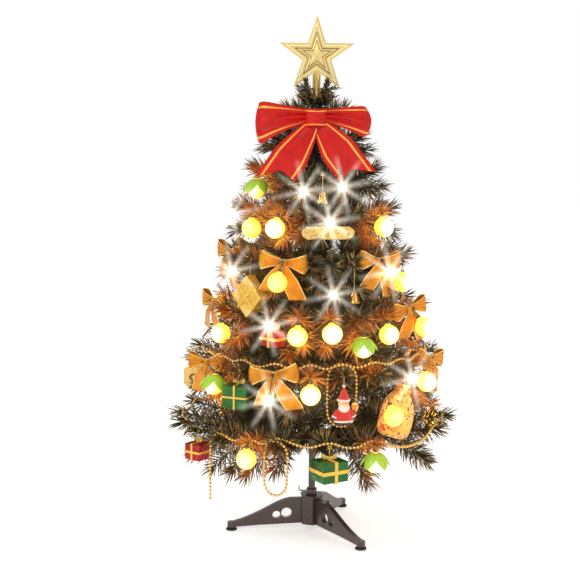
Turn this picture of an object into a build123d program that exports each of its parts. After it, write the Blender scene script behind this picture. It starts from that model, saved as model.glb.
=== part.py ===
"""A decorated tabletop tree, 600 mm tall, on a three-legged clip-together stand.

Frame: +Z up, the origin on the floor under the trunk, and the front towards -Y. Millimetres.
A heading is an angle about the trunk, in degrees, from the front (-Y) towards +X.
"""

import os
from dataclasses import dataclass
from math import cos, pi, radians, sin, tan

from build123d import *

os.makedirs("parts", exist_ok=True)

# ---- clearances -------------------------------------------------------------------------------
SLIP = 0.08  # radial running clearance of a shaft in its bore
SLOT_GAP = 0.15  # each side of a leg's tongue in its slot
SEAT_GAP = 0.1  # between trim and what it is seated on

# ---- stand ------------------------------------------------------------------------------------
LEG_HEADINGS = {"left": -83.4, "right": 36.6, "back": 156.6}
HUB_FLATS = 23.7
HUB_BOTTOM = 6.5
HUB_TOP = 41.5
FLANGE_FLATS = 25.2
FLANGE_THICKNESS = 2.0
COLLAR_DIAMETER = 12.6
COLLAR_TOP = 49.0
BORE_FLOOR = 9.0
LEG_THICKNESS = 6.4
LEG_TOP = 37.5
LEG_FOOT_BOTTOM = 7.2
TONGUE_NECK = 3.6
TONGUE_HEAD = 8.0
TONGUE_IN = 6.6  # radius of the tongue head's inner face
TONGUE_SHOULDER = 9.0  # radius where the head becomes the neck
WINDOW_LARGE = 12.5
WINDOW_SMALL = 9.5
PAD_RADIUS_FROM_AXIS = 95.0
PAD_DIAMETER = 13.0
PAD_THICKNESS = 2.0
PAD_STEM = 4.5
PAD_STEM_TOP = 7.0
FOOT_BOSS = 10.0
FOOT_BOSS_BOTTOM = 3.4
FOOT_BOSS_TOP = 9.6
SCREW_DIAMETER = 2.3
SCREW_HEIGHT = 45.2
SCREW_TIP = 4.25
SCREW_BEND = 15.0
SCREW_ARM = 6.0

# ---- trunk ------------------------------------------------------------------------------------
POLE_DIAMETER = 8.0
POLE_TOP = 104.0
CORE_DIAMETER = 6.0
CORE_BOTTOM = 76.0
CORE_TOP = 522.0
RING_DIAMETER = 15.0
RING_HALF = 6.0
SLEEVE_DIAMETER = 12.6

# ---- branches ---------------------------------------------------------------------------------
WIRE_DIAMETER = 2.0
BARE_TIP = 11.0  # wire left free of foliage at each tip, where ornaments are tied
TAPER = 13.0
NOSE = 14.0
STAGGER = 2.6  # neighbouring roots lie at different heights on the ring
SPINDLE_GAP = 0.4


@dataclass(frozen=True)
class Tier:
    """One ring of branches: root height, horizontal reach, rise, foliage radius and headings."""

    root: float
    reach: float
    rise: float
    foliage: float
    headings: tuple


TIERS = (
    Tier(
        114, 158, 9, 7.5,
        (-90, -73, -56, -42, -27, -15, 7, 26, 46, 66, 90, 112, 135, 158, 180, 202, 225, 248),
    ),
    Tier(
        180, 142, 13, 7,
        (-90, -76, -62, -49, -36, -18, -1, 14, 31, 47, 63, 79, 100, 122, 145, 168, 191, 213, 235, 254),
    ),
    Tier(238, 122, 16, 6.5, (-90, -60, -45, -22, -8, 9, 27, 42, 69, 90, 115, 140, 165, 190, 215, 243)),
    Tier(293, 104, 20, 6.5, (-90, -62, -45, -20, -2, 12, 26, 47, 68, 90, 118, 146, 174, 202, 230, 252)),
    Tier(344, 88, 24, 6, (-90, -55, -28, -8, 10, 34, 60, 90, 122, 155, 188, 220, 248)),
    Tier(390, 70, 28, 5, (-75, -38, -11, 7, 24, 60, 100, 140, 180, 220, 255)),
    Tier(432, 52, 33, 5, (-78, -35, 35, 78, 120, 162, 205, 245)),
    Tier(468, 32, 40, 4, (-90, -45, 45, 90, 140, 180, 220)),
    Tier(500, 17, 58, 4, (-45, 45, 135, 225)),
)
# Branches cut short to leave room for a large ornament in front of them: tier, heading, reach.
SHORTENED = {(0, 46): 114, (2, -45): 86}
CROWN = 6  # tiers from this one up share one node

# ---- ornaments --------------------------------------------------------------------------------
TIE_BACK = 4.0  # from a wire's end to the ring that an ornament hangs by
BOW_BACK = 6.0  # from a wire's end to a bow's knot
LAMP_BACK = 1.8  # from a wire's end to a lamp's clip
CLIP_DIAMETER = 4.4
CLIP_LENGTH = 2.0
CLIP_REACH = 2.5  # from a wire's axis to just outside its clip
STRING_DIAMETER = 0.8
STEM_DIAMETER = 1.3
SOCKET_DIAMETER = 5.0
SOCKET_LENGTH = 6.5
SOCKET_IN = 2.0  # how far a socket stands inside its globe
GLOBE_RADIUS = 11.0
GLOBE_WALL = 0.9
LED_DIAMETER = 3.4
LED_LENGTH = 4.6
CUP_WALL = 0.8
# Lamps with a globe: tier, heading, distance from the wire to the globe's centre, lean outwards.
GLOBE_LAMPS = (
    (0, -27, 18, 0), (0, 26, 20, 0), (0, 112, 18, 0), (0, 180, 18, 0), (0, 225, 18, 0),
    (1, -49, 20, 14), (1, -1, 20, 0), (1, 31, 50, 35), (1, 63, 20, 10), (1, 122, 20, 0), (1, 191, 20, 0),
    (2, -60, 28, 0), (2, -8, 20, 10), (2, 9, 18, 30), (2, 27, 34, 0), (2, 42, 22, 10), (2, 69, 25, 35),
    (2, 140, 20, 0), (2, 243, 20, 0),
    (3, -20, 25, 35), (3, 90, 34, 0), (3, 174, 20, 0),
    (4, -55, 20, 0), (4, -28, 18, 20), (4, 60, 18, 10), (4, 188, 20, 0),
    (5, -75, 22, 0), (5, 140, 20, 0),
)
# Globes seated in a leafy cup, by their place in the list above.
CUPPED = (1, 5, 14, 26)
# Bare lamps: tier, heading, length of the stem, lean outwards.
BARE_LAMPS = (
    (5, -11, 12, 0), (5, 24, 8, 20), (4, 10, 4, 45), (3, -62, 8, 10), (3, 12, 26, 0), (2, -22, 4, 45),
    (1, -18, 20, 25), (1, 47, 4, 45), (4, -90, 4, 45), (3, 47, 8, 45), (1, 145, 8, 30), (2, 190, 8, 30),
)
# Gold bows: tier and heading.
GOLD_BOWS = (
    (3, -20), (3, 47), (3, -90), (2, -90), (1, -62), (1, -18), (1, 79), (2, 69),
    (1, 145), (1, 213), (2, 190), (3, 146), (3, 230),
)
BOW_KNOT = 7.0
BOW_KNOT_LENGTH = 5.6
BOW_SPAN = 56.0
BOW_LOOP_THICKNESS = 5.6
BOW_TAIL_THICKNESS = 1.5


def heading_vector(heading):
    """The horizontal direction away from the trunk at a heading."""
    return Vector(sin(radians(heading)), -cos(radians(heading)), 0)


def radial_plane(heading):
    """Plane through the trunk's axis: x runs outwards at the heading, y runs up."""
    outward = heading_vector(heading)
    return Plane(origin=(0, 0, 0), x_dir=outward, z_dir=outward.cross(Vector(0, 0, 1)))


@dataclass(frozen=True)
class Branch:
    """A branch wire: its ends, and where its foliage starts."""

    heading: float
    root: Vector
    tip: Vector
    foliage_start: float
    foliage_radius: float

    @property
    def axis(self):
        return (self.tip - self.root).normalized()

    @property
    def length(self):
        return (self.tip - self.root).length

    def at(self, back):
        """The point on the wire this far back from its end."""
        return self.tip - self.axis * back


def make_branch(level, place):
    """The branch of a tier at a place in its list of headings."""
    tier = TIERS[level]
    heading = tier.headings[place]
    count = len(tier.headings)
    ahead = (tier.headings[(place + 1) % count] - heading) % 360
    behind = (heading - tier.headings[place - 1]) % 360
    reach = SHORTENED.get((level, heading), tier.reach)
    outward = heading_vector(heading)
    root_radius = RING_DIAMETER / 2 + SEAT_GAP + WIRE_DIAMETER / 2 * sin(radians(tier.rise))
    root = outward * root_radius + Vector(0, 0, tier.root + (place % 3 - 1) * STAGGER)
    tip = outward * reach + Vector(0, 0, tier.root + reach * tan(radians(tier.rise)))
    crowding = (tier.foliage + SPINDLE_GAP) / sin(radians(min(ahead, behind, 120) / 2))
    start = max(0.3 * tier.reach, crowding) / cos(radians(tier.rise))
    return Branch(heading, root, tip, start, tier.foliage)


BRANCHES = [
    [make_branch(level, place) for place in range(len(tier.headings))]
    for level, tier in enumerate(TIERS)
]


def branch(level, heading):
    """The branch of a tier at one of its headings."""
    return BRANCHES[level][TIERS[level].headings.index(heading)]


def facing_plane(origin, heading, turn=0.0, tip_over=0.0):
    """Plane that faces away from the trunk: x to its right, y up. It can be turned or tipped over."""
    plane = Plane(origin=origin, x_dir=heading_vector(heading + 90), z_dir=heading_vector(heading))
    return Plane(plane.location * Rotation(0, turn, tip_over))


def hang_point(limb, drop):
    """The point that hangs this far under a branch's tie ring."""
    return limb.at(TIE_BACK) - Vector(0, 0, drop)


def add_ring(centre, axis):
    """A ring that goes round a branch wire."""
    with BuildSketch(Plane(origin=centre - axis * (CLIP_LENGTH / 2), z_dir=axis)) as section:
        Circle(CLIP_DIAMETER / 2)
        Circle(WIRE_DIAMETER / 2 + SLIP, mode=Mode.SUBTRACT)
    extrude(section.sketch, amount=CLIP_LENGTH)


def add_rod(start, end, diameter):
    """A straight round rod between two points."""
    with BuildSketch(Plane(origin=start, z_dir=(end - start).normalized())) as section:
        Circle(diameter / 2)
    extrude(section.sketch, amount=(end - start).length)


def add_hanger(limb, drop):
    """A ring on a branch wire, with a string down from it."""
    centre = limb.at(TIE_BACK)
    add_ring(centre, limb.axis)
    inside = (CLIP_DIAMETER / 2 + WIRE_DIAMETER / 2 + SLIP) / 2
    add_rod(centre - Vector(0, 0, inside), centre - Vector(0, 0, drop), STRING_DIAMETER)


def add_box(plane, width, height, depth, mode=Mode.ADD):
    """A block centred on a plane."""
    with BuildSketch(plane) as section:
        Rectangle(width, height)
    extrude(section.sketch, amount=depth / 2, both=True, mode=mode)


def add_bands(plane, width, height, depth, band, thickness=0.7):
    """Ribbon bands across and down a box, a seat gap off its faces."""
    add_box(plane, band, height + 2 * thickness, depth + 2 * thickness)
    add_box(plane, width + 2 * thickness, band, depth + 2 * thickness)
    gap = 2 * SEAT_GAP
    add_box(plane, width + gap, height + gap, depth + gap, mode=Mode.SUBTRACT)


def add_polygon(plane, points, thickness):
    """A flat plate with straight sides, centred on a plane."""
    with BuildSketch(plane) as section:
        Polygon(*points, align=None)
    extrude(section.sketch, amount=thickness / 2, both=True)


def mirrored(points):
    """The same outline on the other side of the plane's y axis."""
    return [(-x, y) for x, y in reversed(points)]


def star_points(radius):
    """The ten corners of a five-pointed star, the first one up."""
    inner = radius * sin(pi / 10) / cos(pi / 5)
    corners = [(radius if i % 2 == 0 else inner, radians(90 + 36 * i)) for i in range(10)]
    return [(r * cos(a), r * sin(a)) for r, a in corners]


def save(piece, name):
    """Label a finished piece and write it."""
    piece.label = name
    export_step(piece, f"parts/{name}.step")


# ---- stand ------------------------------------------------------------------------------------
hub_turn = LEG_HEADINGS["left"] - 120  # a flat of the hexagon faces each leg

with BuildPart() as stand_hub:
    with BuildSketch(Plane.XY.offset(HUB_BOTTOM)):
        RegularPolygon(HUB_FLATS / 2, 6, major_radius=False, rotation=hub_turn)
    extrude(amount=HUB_TOP - HUB_BOTTOM)
    with BuildSketch(Plane.XY.offset(HUB_TOP - FLANGE_THICKNESS)):
        RegularPolygon(FLANGE_FLATS / 2, 6, major_radius=False, rotation=hub_turn)
    extrude(amount=FLANGE_THICKNESS)
    with BuildSketch(Plane.XY.offset(HUB_TOP)):
        Circle(COLLAR_DIAMETER / 2)
    extrude(amount=COLLAR_TOP - HUB_TOP)
    chamfer(stand_hub.faces().sort_by(Axis.Z)[-1].edges(), length=0.6)
    with BuildSketch(Plane.XY.offset(BORE_FLOOR)):
        Circle(POLE_DIAMETER / 2 + SLIP)
    extrude(amount=COLLAR_TOP, mode=Mode.SUBTRACT)
    for leg_heading in LEG_HEADINGS.values():
        slot_plane = radial_plane(leg_heading)
        with BuildSketch(slot_plane):
            with Locations((TONGUE_IN - SLOT_GAP, HUB_BOTTOM)):
                Rectangle(
                    TONGUE_SHOULDER - TONGUE_IN + 2 * SLOT_GAP, LEG_TOP - HUB_BOTTOM + SLOT_GAP / 2,
                    align=Align.MIN,
                )
        extrude(amount=TONGUE_HEAD / 2 + SLOT_GAP, both=True, mode=Mode.SUBTRACT)
        with BuildSketch(slot_plane):
            with Locations((TONGUE_SHOULDER, HUB_BOTTOM)):
                Rectangle(HUB_FLATS / 2, LEG_TOP - HUB_BOTTOM + SLOT_GAP / 2, align=Align.MIN)
        extrude(amount=TONGUE_NECK / 2 + SLOT_GAP, both=True, mode=Mode.SUBTRACT)
    with BuildSketch(Plane(origin=(0, 0, SCREW_HEIGHT), z_dir=(-1, 0, 0))):
        Circle(SCREW_DIAMETER / 2 + SLIP)
    extrude(amount=COLLAR_DIAMETER, mode=Mode.SUBTRACT)
save(stand_hub.part, "stand_hub")

for side, leg_heading in LEG_HEADINGS.items():
    leg_plane = radial_plane(leg_heading)
    leg_root = HUB_FLATS / 2 + SLOT_GAP
    tip_end = PAD_RADIUS_FROM_AXIS + FOOT_BOSS / 2 - 1
    with BuildPart() as stand_leg:
        with BuildSketch(leg_plane):
            with BuildLine():
                crest = Spline(
                    (24.7, LEG_TOP), (48.3, 28.9), (76.0, 15.6), (tip_end, FOOT_BOSS_TOP - 1),
                    tangents=((1, -0.12), (1, -0.25)),
                )
                Line((leg_root, LEG_TOP), crest @ 0)
                Line((leg_root, LEG_TOP), (leg_root, LEG_FOOT_BOTTOM))
                Polyline((leg_root, LEG_FOOT_BOTTOM), (62.9, 5.6), (tip_end, FOOT_BOSS_BOTTOM), crest @ 1)
            make_face()
            with Locations((30.0, 19.6)):
                Circle(WINDOW_LARGE / 2, mode=Mode.SUBTRACT)
            with Locations((41.9, 17.4)):
                Circle(WINDOW_SMALL / 2, mode=Mode.SUBTRACT)
        extrude(amount=LEG_THICKNESS / 2, both=True)
        with BuildSketch(leg_plane):
            with Locations((TONGUE_SHOULDER, LEG_FOOT_BOTTOM)):
                Rectangle(leg_root - TONGUE_SHOULDER, LEG_TOP - LEG_FOOT_BOTTOM, align=Align.MIN)
        extrude(amount=TONGUE_NECK / 2, both=True)
        with BuildSketch(leg_plane):
            with Locations((TONGUE_IN, LEG_FOOT_BOTTOM)):
                Rectangle(TONGUE_SHOULDER - TONGUE_IN, LEG_TOP - LEG_FOOT_BOTTOM, align=Align.MIN)
        extrude(amount=TONGUE_HEAD / 2, both=True)
        pad_centre = heading_vector(leg_heading) * PAD_RADIUS_FROM_AXIS
        with BuildSketch(Plane(origin=pad_centre + Vector(0, 0, FOOT_BOSS_BOTTOM))):
            Circle(FOOT_BOSS / 2)
        extrude(amount=FOOT_BOSS_TOP - FOOT_BOSS_BOTTOM)
        with BuildSketch(Plane(origin=pad_centre)):
            Circle(PAD_STEM / 2 + SLIP)
        extrude(amount=PAD_STEM_TOP + SLIP, mode=Mode.SUBTRACT)
    save(stand_leg.part, f"stand_leg_{side}")

    with BuildPart() as foot_pad:
        with BuildSketch(Plane(origin=pad_centre)):
            Circle(PAD_DIAMETER / 2)
        extrude(amount=PAD_THICKNESS)
        fillet(foot_pad.edges().filter_by(GeomType.CIRCLE).sort_by(Axis.Z)[-1], radius=0.8)
        with BuildSketch(Plane(origin=pad_centre)):
            Circle(PAD_STEM / 2)
        extrude(amount=PAD_STEM_TOP)
    save(foot_pad.part, f"foot_pad_{side}")

with BuildPart() as clamp_screw:
    with BuildLine() as screw_line:
        FilletPolyline(
            (-SCREW_TIP, 0, SCREW_HEIGHT), (-SCREW_BEND, 0, SCREW_HEIGHT),
            (-SCREW_BEND, 0, SCREW_HEIGHT + SCREW_ARM), radius=SCREW_DIAMETER,
        )
    with BuildSketch(Plane(origin=(-SCREW_TIP, 0, SCREW_HEIGHT), z_dir=(-1, 0, 0))):
        Circle(SCREW_DIAMETER / 2)
    sweep(path=screw_line.line)
save(clamp_screw.part, "clamp_screw")

# ---- trunk ------------------------------------------------------------------------------------
with BuildPart() as trunk_pole:
    with BuildSketch(Plane.XY.offset(BORE_FLOOR)):
        Circle(POLE_DIAMETER / 2)
    extrude(amount=POLE_TOP - BORE_FLOOR)
    with BuildSketch(Plane.XY.offset(CORE_BOTTOM - 10)):
        Circle(CORE_DIAMETER / 2 + SLIP)
    extrude(amount=POLE_TOP, mode=Mode.SUBTRACT)
save(trunk_pole.part, "trunk_pole")

with BuildPart() as trunk_core:
    with BuildSketch(Plane.XY.offset(CORE_BOTTOM)):
        Circle(CORE_DIAMETER / 2)
    extrude(amount=CORE_TOP - CORE_BOTTOM)
    chamfer(trunk_core.edges(), length=0.8)
save(trunk_core.part, "trunk_core")

with BuildPart() as binding_rings:
    for tier in TIERS:
        ring_bottom = POLE_TOP if tier is TIERS[0] else tier.root - RING_HALF
        with BuildSketch(Plane.XY.offset(ring_bottom)):
            Circle(RING_DIAMETER / 2)
            Circle(CORE_DIAMETER / 2 + SLIP, mode=Mode.SUBTRACT)
        extrude(amount=tier.root + RING_HALF - ring_bottom)
save(binding_rings.part, "binding_rings")

with BuildPart() as trunk_garland:
    for lower, upper in zip(TIERS, TIERS[1:]):
        sleeve_bottom = lower.root + RING_HALF + SEAT_GAP
        with BuildSketch(Plane.XY.offset(sleeve_bottom)):
            Circle(SLEEVE_DIAMETER / 2)
            Circle(CORE_DIAMETER / 2 + SLIP, mode=Mode.SUBTRACT)
        extrude(amount=upper.root - RING_HALF - SEAT_GAP - sleeve_bottom)
save(trunk_garland.part, "trunk_garland")


# ---- branches ---------------------------------------------------------------------------------
def add_wire(limb):
    """A branch's twisted wire, as one round rod."""
    add_rod(limb.root, limb.tip, WIRE_DIAMETER)


def add_foliage(limb):
    """The envelope of a branch's denser needles: a spindle round the wire."""
    bore = WIRE_DIAMETER / 2 + SEAT_GAP
    end = limb.length - BARE_TIP
    nose = min(NOSE, (end - limb.foliage_start) / 3)
    taper = min(TAPER, (end - limb.foliage_start) / 3)
    side = limb.axis.cross(Vector(0, 0, 1)).normalized()
    with BuildSketch(Plane(origin=limb.root, x_dir=limb.axis, z_dir=side)) as section:
        Polygon(
            (limb.foliage_start, bore), (end, bore), (end, 2 * bore), (end - taper, limb.foliage_radius),
            (limb.foliage_start + nose, limb.foliage_radius), (limb.foliage_start, 2 * bore), align=None,
        )
    revolve(section.sketch, axis=Axis(limb.root, limb.axis))


for level in range(CROWN + 1):
    limbs = BRANCHES[level] if level < CROWN else sum(BRANCHES[CROWN:], [])
    with BuildPart() as branch_wires:
        for limb in limbs:
            add_wire(limb)
    save(branch_wires.part, f"branch_wires_{level + 1}")
    with BuildPart() as foliage:
        for limb in limbs:
            add_foliage(limb)
    save(foliage.part, f"foliage_{level + 1}")

# ---- star topper ------------------------------------------------------------------------------
STAR_RADIUS = 45.0
STAR_HEIGHT = 555.0
STAR_THICKNESS = 4.0
STAR_GROOVE = 0.62
STAR_POINT_RISE = 4.0
STAR_TUBE_DIAMETER = 9.0
STAR_STUB = 7.0
star_plane = Plane(origin=(0, 0, STAR_HEIGHT), x_dir=(1, 0, 0), z_dir=(0, -1, 0))
star_seat = TIERS[-1].root + RING_HALF
star_notch = STAR_HEIGHT - STAR_RADIUS * sin(pi / 10) / cos(pi / 5)
star_tube_top = star_notch - STAR_TUBE_DIAMETER / 2 * tan(pi / 5) - 2 * SEAT_GAP

with BuildPart() as star_border:
    with BuildSketch(star_plane):
        Polygon(*star_points(STAR_RADIUS), align=None)
        Polygon(*star_points(STAR_RADIUS * STAR_GROOVE), align=None, mode=Mode.SUBTRACT)
    extrude(amount=STAR_THICKNESS / 2, both=True)
    with BuildSketch(Plane.XY.offset(star_tube_top - STAR_STUB)):
        Circle(CORE_DIAMETER / 2)
    extrude(amount=star_notch + 3 - star_tube_top + STAR_STUB)
save(star_border.part, "star_border")

with BuildPart() as star_center:
    inner_radius = STAR_RADIUS * STAR_GROOVE - 0.6
    with BuildSketch(star_plane.offset(-STAR_THICKNESS / 2)):
        Polygon(*star_points(inner_radius), align=None)
    extrude(amount=STAR_THICKNESS)
    with BuildSketch(star_plane.offset(STAR_THICKNESS / 2)):
        Polygon(*star_points(inner_radius), align=None)
    with BuildSketch(star_plane.offset(STAR_THICKNESS / 2 + STAR_POINT_RISE)):
        Polygon(*star_points(inner_radius / 8), align=None)
    loft(ruled=True)
save(star_center.part, "star_center")

with BuildPart() as star_tube:
    with BuildSketch(Plane.XY.offset(star_seat)):
        Circle(STAR_TUBE_DIAMETER / 2)
        Circle(CORE_DIAMETER / 2 + SLIP, mode=Mode.SUBTRACT)
    extrude(amount=star_tube_top - star_seat)
save(star_tube.part, "star_tube")

# ---- red ribbon bow ---------------------------------------------------------------------------
RED_BOW_Y = -54.0
RED_BOW_Z = 486.0
RED_KNOT_WIDTH = 20.0
RED_KNOT_HEIGHT = 18.0
RED_KNOT_DEPTH = 14.0
RED_LOOP_REACH = 67.0
RED_LOOP_DEPTH = 12.0
RED_LOOP_HEIGHT = 38.0
RED_TAIL_LENGTH = 82.0
RED_TAIL_WIDTH = 38.0
RED_TAIL_NOTCH = 11.0
RED_TAIL_THICKNESS = 1.6
RED_TAIL_SPREAD = 38.0
RED_TAIL_SLOPE = 14.0
red_plane = Plane(origin=(0, RED_BOW_Y, RED_BOW_Z), x_dir=(1, 0, 0), z_dir=(0, -1, 0))

with BuildPart() as red_bow_knot:
    with BuildSketch(red_plane):
        RectangleRounded(RED_KNOT_WIDTH, RED_KNOT_HEIGHT, 5)
    extrude(amount=RED_KNOT_DEPTH / 2, both=True)
save(red_bow_knot.part, "red_bow_knot")

with BuildPart() as red_bow_loops:
    near = RED_KNOT_WIDTH / 2 + 3 * SEAT_GAP
    half = RED_LOOP_HEIGHT / 2
    loop_outline = [
        (near, -5), (RED_LOOP_REACH - 8, -half), (RED_LOOP_REACH, -half + 8),
        (RED_LOOP_REACH, half - 8), (RED_LOOP_REACH - 8, half), (near, 7),
    ]
    add_polygon(red_plane, loop_outline, RED_LOOP_DEPTH)
    add_polygon(red_plane, mirrored(loop_outline), RED_LOOP_DEPTH)
save(red_bow_loops.part, "red_bow_loops")

with BuildPart() as red_bow_tails:
    for side in (-1, 1):
        tail_top = Vector(0, RED_BOW_Y - RED_KNOT_DEPTH / 2 + 3, RED_BOW_Z - RED_KNOT_HEIGHT / 2 + 1.6)
        upright = Plane(origin=tail_top, x_dir=(1, 0, 0), z_dir=(0, -1, 0))
        tail_plane = Plane(upright.location * Rotation(-RED_TAIL_SLOPE, 0, side * RED_TAIL_SPREAD))
        half = RED_TAIL_WIDTH / 2
        tail = [
            (-2.2, -4), (-half, -RED_TAIL_LENGTH), (0, -RED_TAIL_LENGTH + RED_TAIL_NOTCH),
            (half, -RED_TAIL_LENGTH), (2.2, -4),
        ]
        add_polygon(tail_plane, tail, RED_TAIL_THICKNESS)
save(red_bow_tails.part, "red_bow_tails")

with BuildPart() as red_bow_tie:
    with BuildSketch(Plane.XY.offset(RED_BOW_Z - 2)):
        Circle(SLEEVE_DIAMETER / 2 + 2)
        Circle(SLEEVE_DIAMETER / 2 + SLIP, mode=Mode.SUBTRACT)
    extrude(amount=4)
    knot_back = RED_BOW_Y + RED_KNOT_DEPTH / 2 + SEAT_GAP
    tie_start = Vector(0, -SLEEVE_DIAMETER / 2 - 1, RED_BOW_Z)
    add_rod(tie_start, Vector(0, knot_back, RED_BOW_Z), WIRE_DIAMETER)
save(red_bow_tie.part, "red_bow_tie")


# ---- gold bows --------------------------------------------------------------------------------
def bow_plane(limb):
    """The plane that a gold bow lies in, across its branch near the tip."""
    return facing_plane(limb.at(BOW_BACK), limb.heading)


LOOP_NEAR = BOW_KNOT / 2 + 0.4
GOLD_LOOP = [
    (LOOP_NEAR, -2), (BOW_SPAN / 2 - 4, -9), (BOW_SPAN / 2, -5),
    (BOW_SPAN / 2, 8), (BOW_SPAN / 2 - 4, 12), (LOOP_NEAR, 3),
]
GOLD_TAIL = [(0.8, -4.2), (11, -38), (25, -31), (5, -4.8)]

with BuildPart() as gold_bow_loops:
    for level, heading in GOLD_BOWS:
        plane = bow_plane(branch(level, heading))
        add_polygon(plane, GOLD_LOOP, BOW_LOOP_THICKNESS)
        add_polygon(plane, mirrored(GOLD_LOOP), BOW_LOOP_THICKNESS)
save(gold_bow_loops.part, "gold_bow_loops")

with BuildPart() as gold_bow_knots:
    for level, heading in GOLD_BOWS:
        limb = branch(level, heading)
        with BuildSketch(Plane(origin=limb.at(BOW_BACK + BOW_KNOT_LENGTH / 2), z_dir=limb.axis)):
            Circle(BOW_KNOT / 2)
            Circle(WIRE_DIAMETER / 2 + SLIP, mode=Mode.SUBTRACT)
        extrude(amount=BOW_KNOT_LENGTH)
save(gold_bow_knots.part, "gold_bow_knots")

with BuildPart() as gold_bow_tails:
    for level, heading in GOLD_BOWS:
        plane = bow_plane(branch(level, heading))
        add_polygon(plane, GOLD_TAIL, BOW_TAIL_THICKNESS)
        add_polygon(plane, mirrored(GOLD_TAIL), BOW_TAIL_THICKNESS)
save(gold_bow_tails.part, "gold_bow_tails")


# ---- light string's lamps ---------------------------------------------------------------------
@dataclass(frozen=True)
class Lamp:
    """A lamp clipped to a branch: its branch, which way it points, and where its socket starts."""

    limb: Branch
    lean: float
    socket_start: float

    @property
    def clip(self):
        return self.limb.at(LAMP_BACK)

    @property
    def direction(self):
        tilt = radians(self.lean)
        return heading_vector(self.limb.heading) * sin(tilt) - Vector(0, 0, cos(tilt))

    def point(self, distance):
        """The point this far from the branch wire along the lamp."""
        return self.clip + self.direction * distance


def globe_lamp(entry):
    """A lamp with a globe, from its line in the list."""
    level, heading, distance, lean = entry
    return Lamp(branch(level, heading), lean, distance - GLOBE_RADIUS + SOCKET_IN - SOCKET_LENGTH)


def bare_lamp(entry):
    """A lamp without a globe, from its line in the list."""
    level, heading, stem, lean = entry
    return Lamp(branch(level, heading), lean, stem)


LAMPS = [globe_lamp(entry) for entry in GLOBE_LAMPS] + [bare_lamp(entry) for entry in BARE_LAMPS]

with BuildPart() as lamp_clips:
    for lamp in LAMPS:
        add_ring(lamp.clip, lamp.limb.axis)
        stem_start = (CLIP_DIAMETER / 2 + WIRE_DIAMETER / 2 + SLIP) / 2
        stem_end = lamp.point(max(lamp.socket_start, CLIP_REACH) - SEAT_GAP)
        add_rod(lamp.point(stem_start), stem_end, STEM_DIAMETER)
save(lamp_clips.part, "lamp_clips")

with BuildPart() as lamp_sockets:
    for lamp in LAMPS:
        socket_end = lamp.point(lamp.socket_start + SOCKET_LENGTH)
        add_rod(lamp.point(max(lamp.socket_start, CLIP_REACH)), socket_end, SOCKET_DIAMETER)
save(lamp_sockets.part, "lamp_sockets")

with BuildPart() as led_bulbs:
    for lamp in LAMPS:
        led_start = lamp.socket_start + SOCKET_LENGTH + SEAT_GAP
        across = lamp.direction.cross(heading_vector(lamp.limb.heading + 90)).normalized()
        with BuildSketch(Plane(origin=lamp.point(led_start), x_dir=lamp.direction, z_dir=across)):
            with BuildLine():
                Line((0, 0), (LED_LENGTH, 0))
                Line((0, 0), (0, LED_DIAMETER / 2))
                Line((0, LED_DIAMETER / 2), (LED_LENGTH - LED_DIAMETER / 2, LED_DIAMETER / 2))
                RadiusArc(
                    (LED_LENGTH - LED_DIAMETER / 2, LED_DIAMETER / 2), (LED_LENGTH, 0), LED_DIAMETER / 2
                )
            make_face()
        revolve(axis=Axis(lamp.point(led_start), lamp.direction))
save(led_bulbs.part, "led_bulbs")


def add_shell(lamp, distance, inside, outside, mouth, end):
    """A hollow ball round a point of a lamp, open round its socket and cut off at its end."""
    across = lamp.direction.cross(heading_vector(lamp.limb.heading + 90)).normalized()
    with BuildSketch(Plane(origin=lamp.point(distance), x_dir=lamp.direction, z_dir=across)) as section:
        Circle(outside)
        Circle(inside, mode=Mode.SUBTRACT)
        Rectangle(4 * outside, 4 * outside, align=(Align.CENTER, Align.MAX), mode=Mode.SUBTRACT)
        with Locations((-2 * outside, 0)):
            Rectangle(2 * outside, mouth, align=Align.MIN, mode=Mode.SUBTRACT)
        with Locations((end, 0)):
            Rectangle(2 * outside, 2 * outside, align=Align.MIN, mode=Mode.SUBTRACT)
    revolve(section.sketch, axis=Axis(lamp.point(distance), lamp.direction))


with BuildPart() as lamp_globes:
    for entry in GLOBE_LAMPS:
        mouth = SOCKET_DIAMETER / 2 + SLIP
        add_shell(globe_lamp(entry), entry[2], GLOBE_RADIUS - GLOBE_WALL, GLOBE_RADIUS, mouth, GLOBE_RADIUS)
save(lamp_globes.part, "lamp_globes")

with BuildPart() as lamp_cups:
    for place in CUPPED:
        entry = GLOBE_LAMPS[place]
        inside = GLOBE_RADIUS + 3 * SEAT_GAP
        mouth = SOCKET_DIAMETER / 2 + 3 * SEAT_GAP
        add_shell(globe_lamp(entry), entry[2], inside, inside + CUP_WALL, mouth, -2)
save(lamp_cups.part, "lamp_cups")


# ---- gift boxes -------------------------------------------------------------------------------
@dataclass(frozen=True)
class Gift:
    """A wrapped box hung from a branch: the branch, its drop, its size and how it is turned."""

    level: int
    heading: int
    drop: float
    width: float
    height: float
    depth: float
    band: float
    turn: float = 0.0
    tip_over: float = 0.0

    @property
    def limb(self):
        return branch(self.level, self.heading)

    @property
    def plane(self):
        centre = hang_point(self.limb, self.drop + self.reach_up)
        return facing_plane(centre, self.heading, self.turn, self.tip_over)

    @property
    def reach_up(self):
        """From the box's centre to the ribbon on its highest point."""
        tilt = radians(self.tip_over)
        return self.height / 2 * abs(cos(tilt)) + self.width / 2 * abs(sin(tilt)) + BAND_THICKNESS

    @property
    def string(self):
        """The string's length: to just over the ribbon, or the corner of a box that hangs by one."""
        return self.drop + (BAND_THICKNESS if self.tip_over else -SEAT_GAP)

    def add_box(self):
        add_box(self.plane, self.width, self.height, self.depth)

    def add_ribbon(self):
        add_bands(self.plane, self.width, self.height, self.depth, self.band, BAND_THICKNESS)


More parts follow.
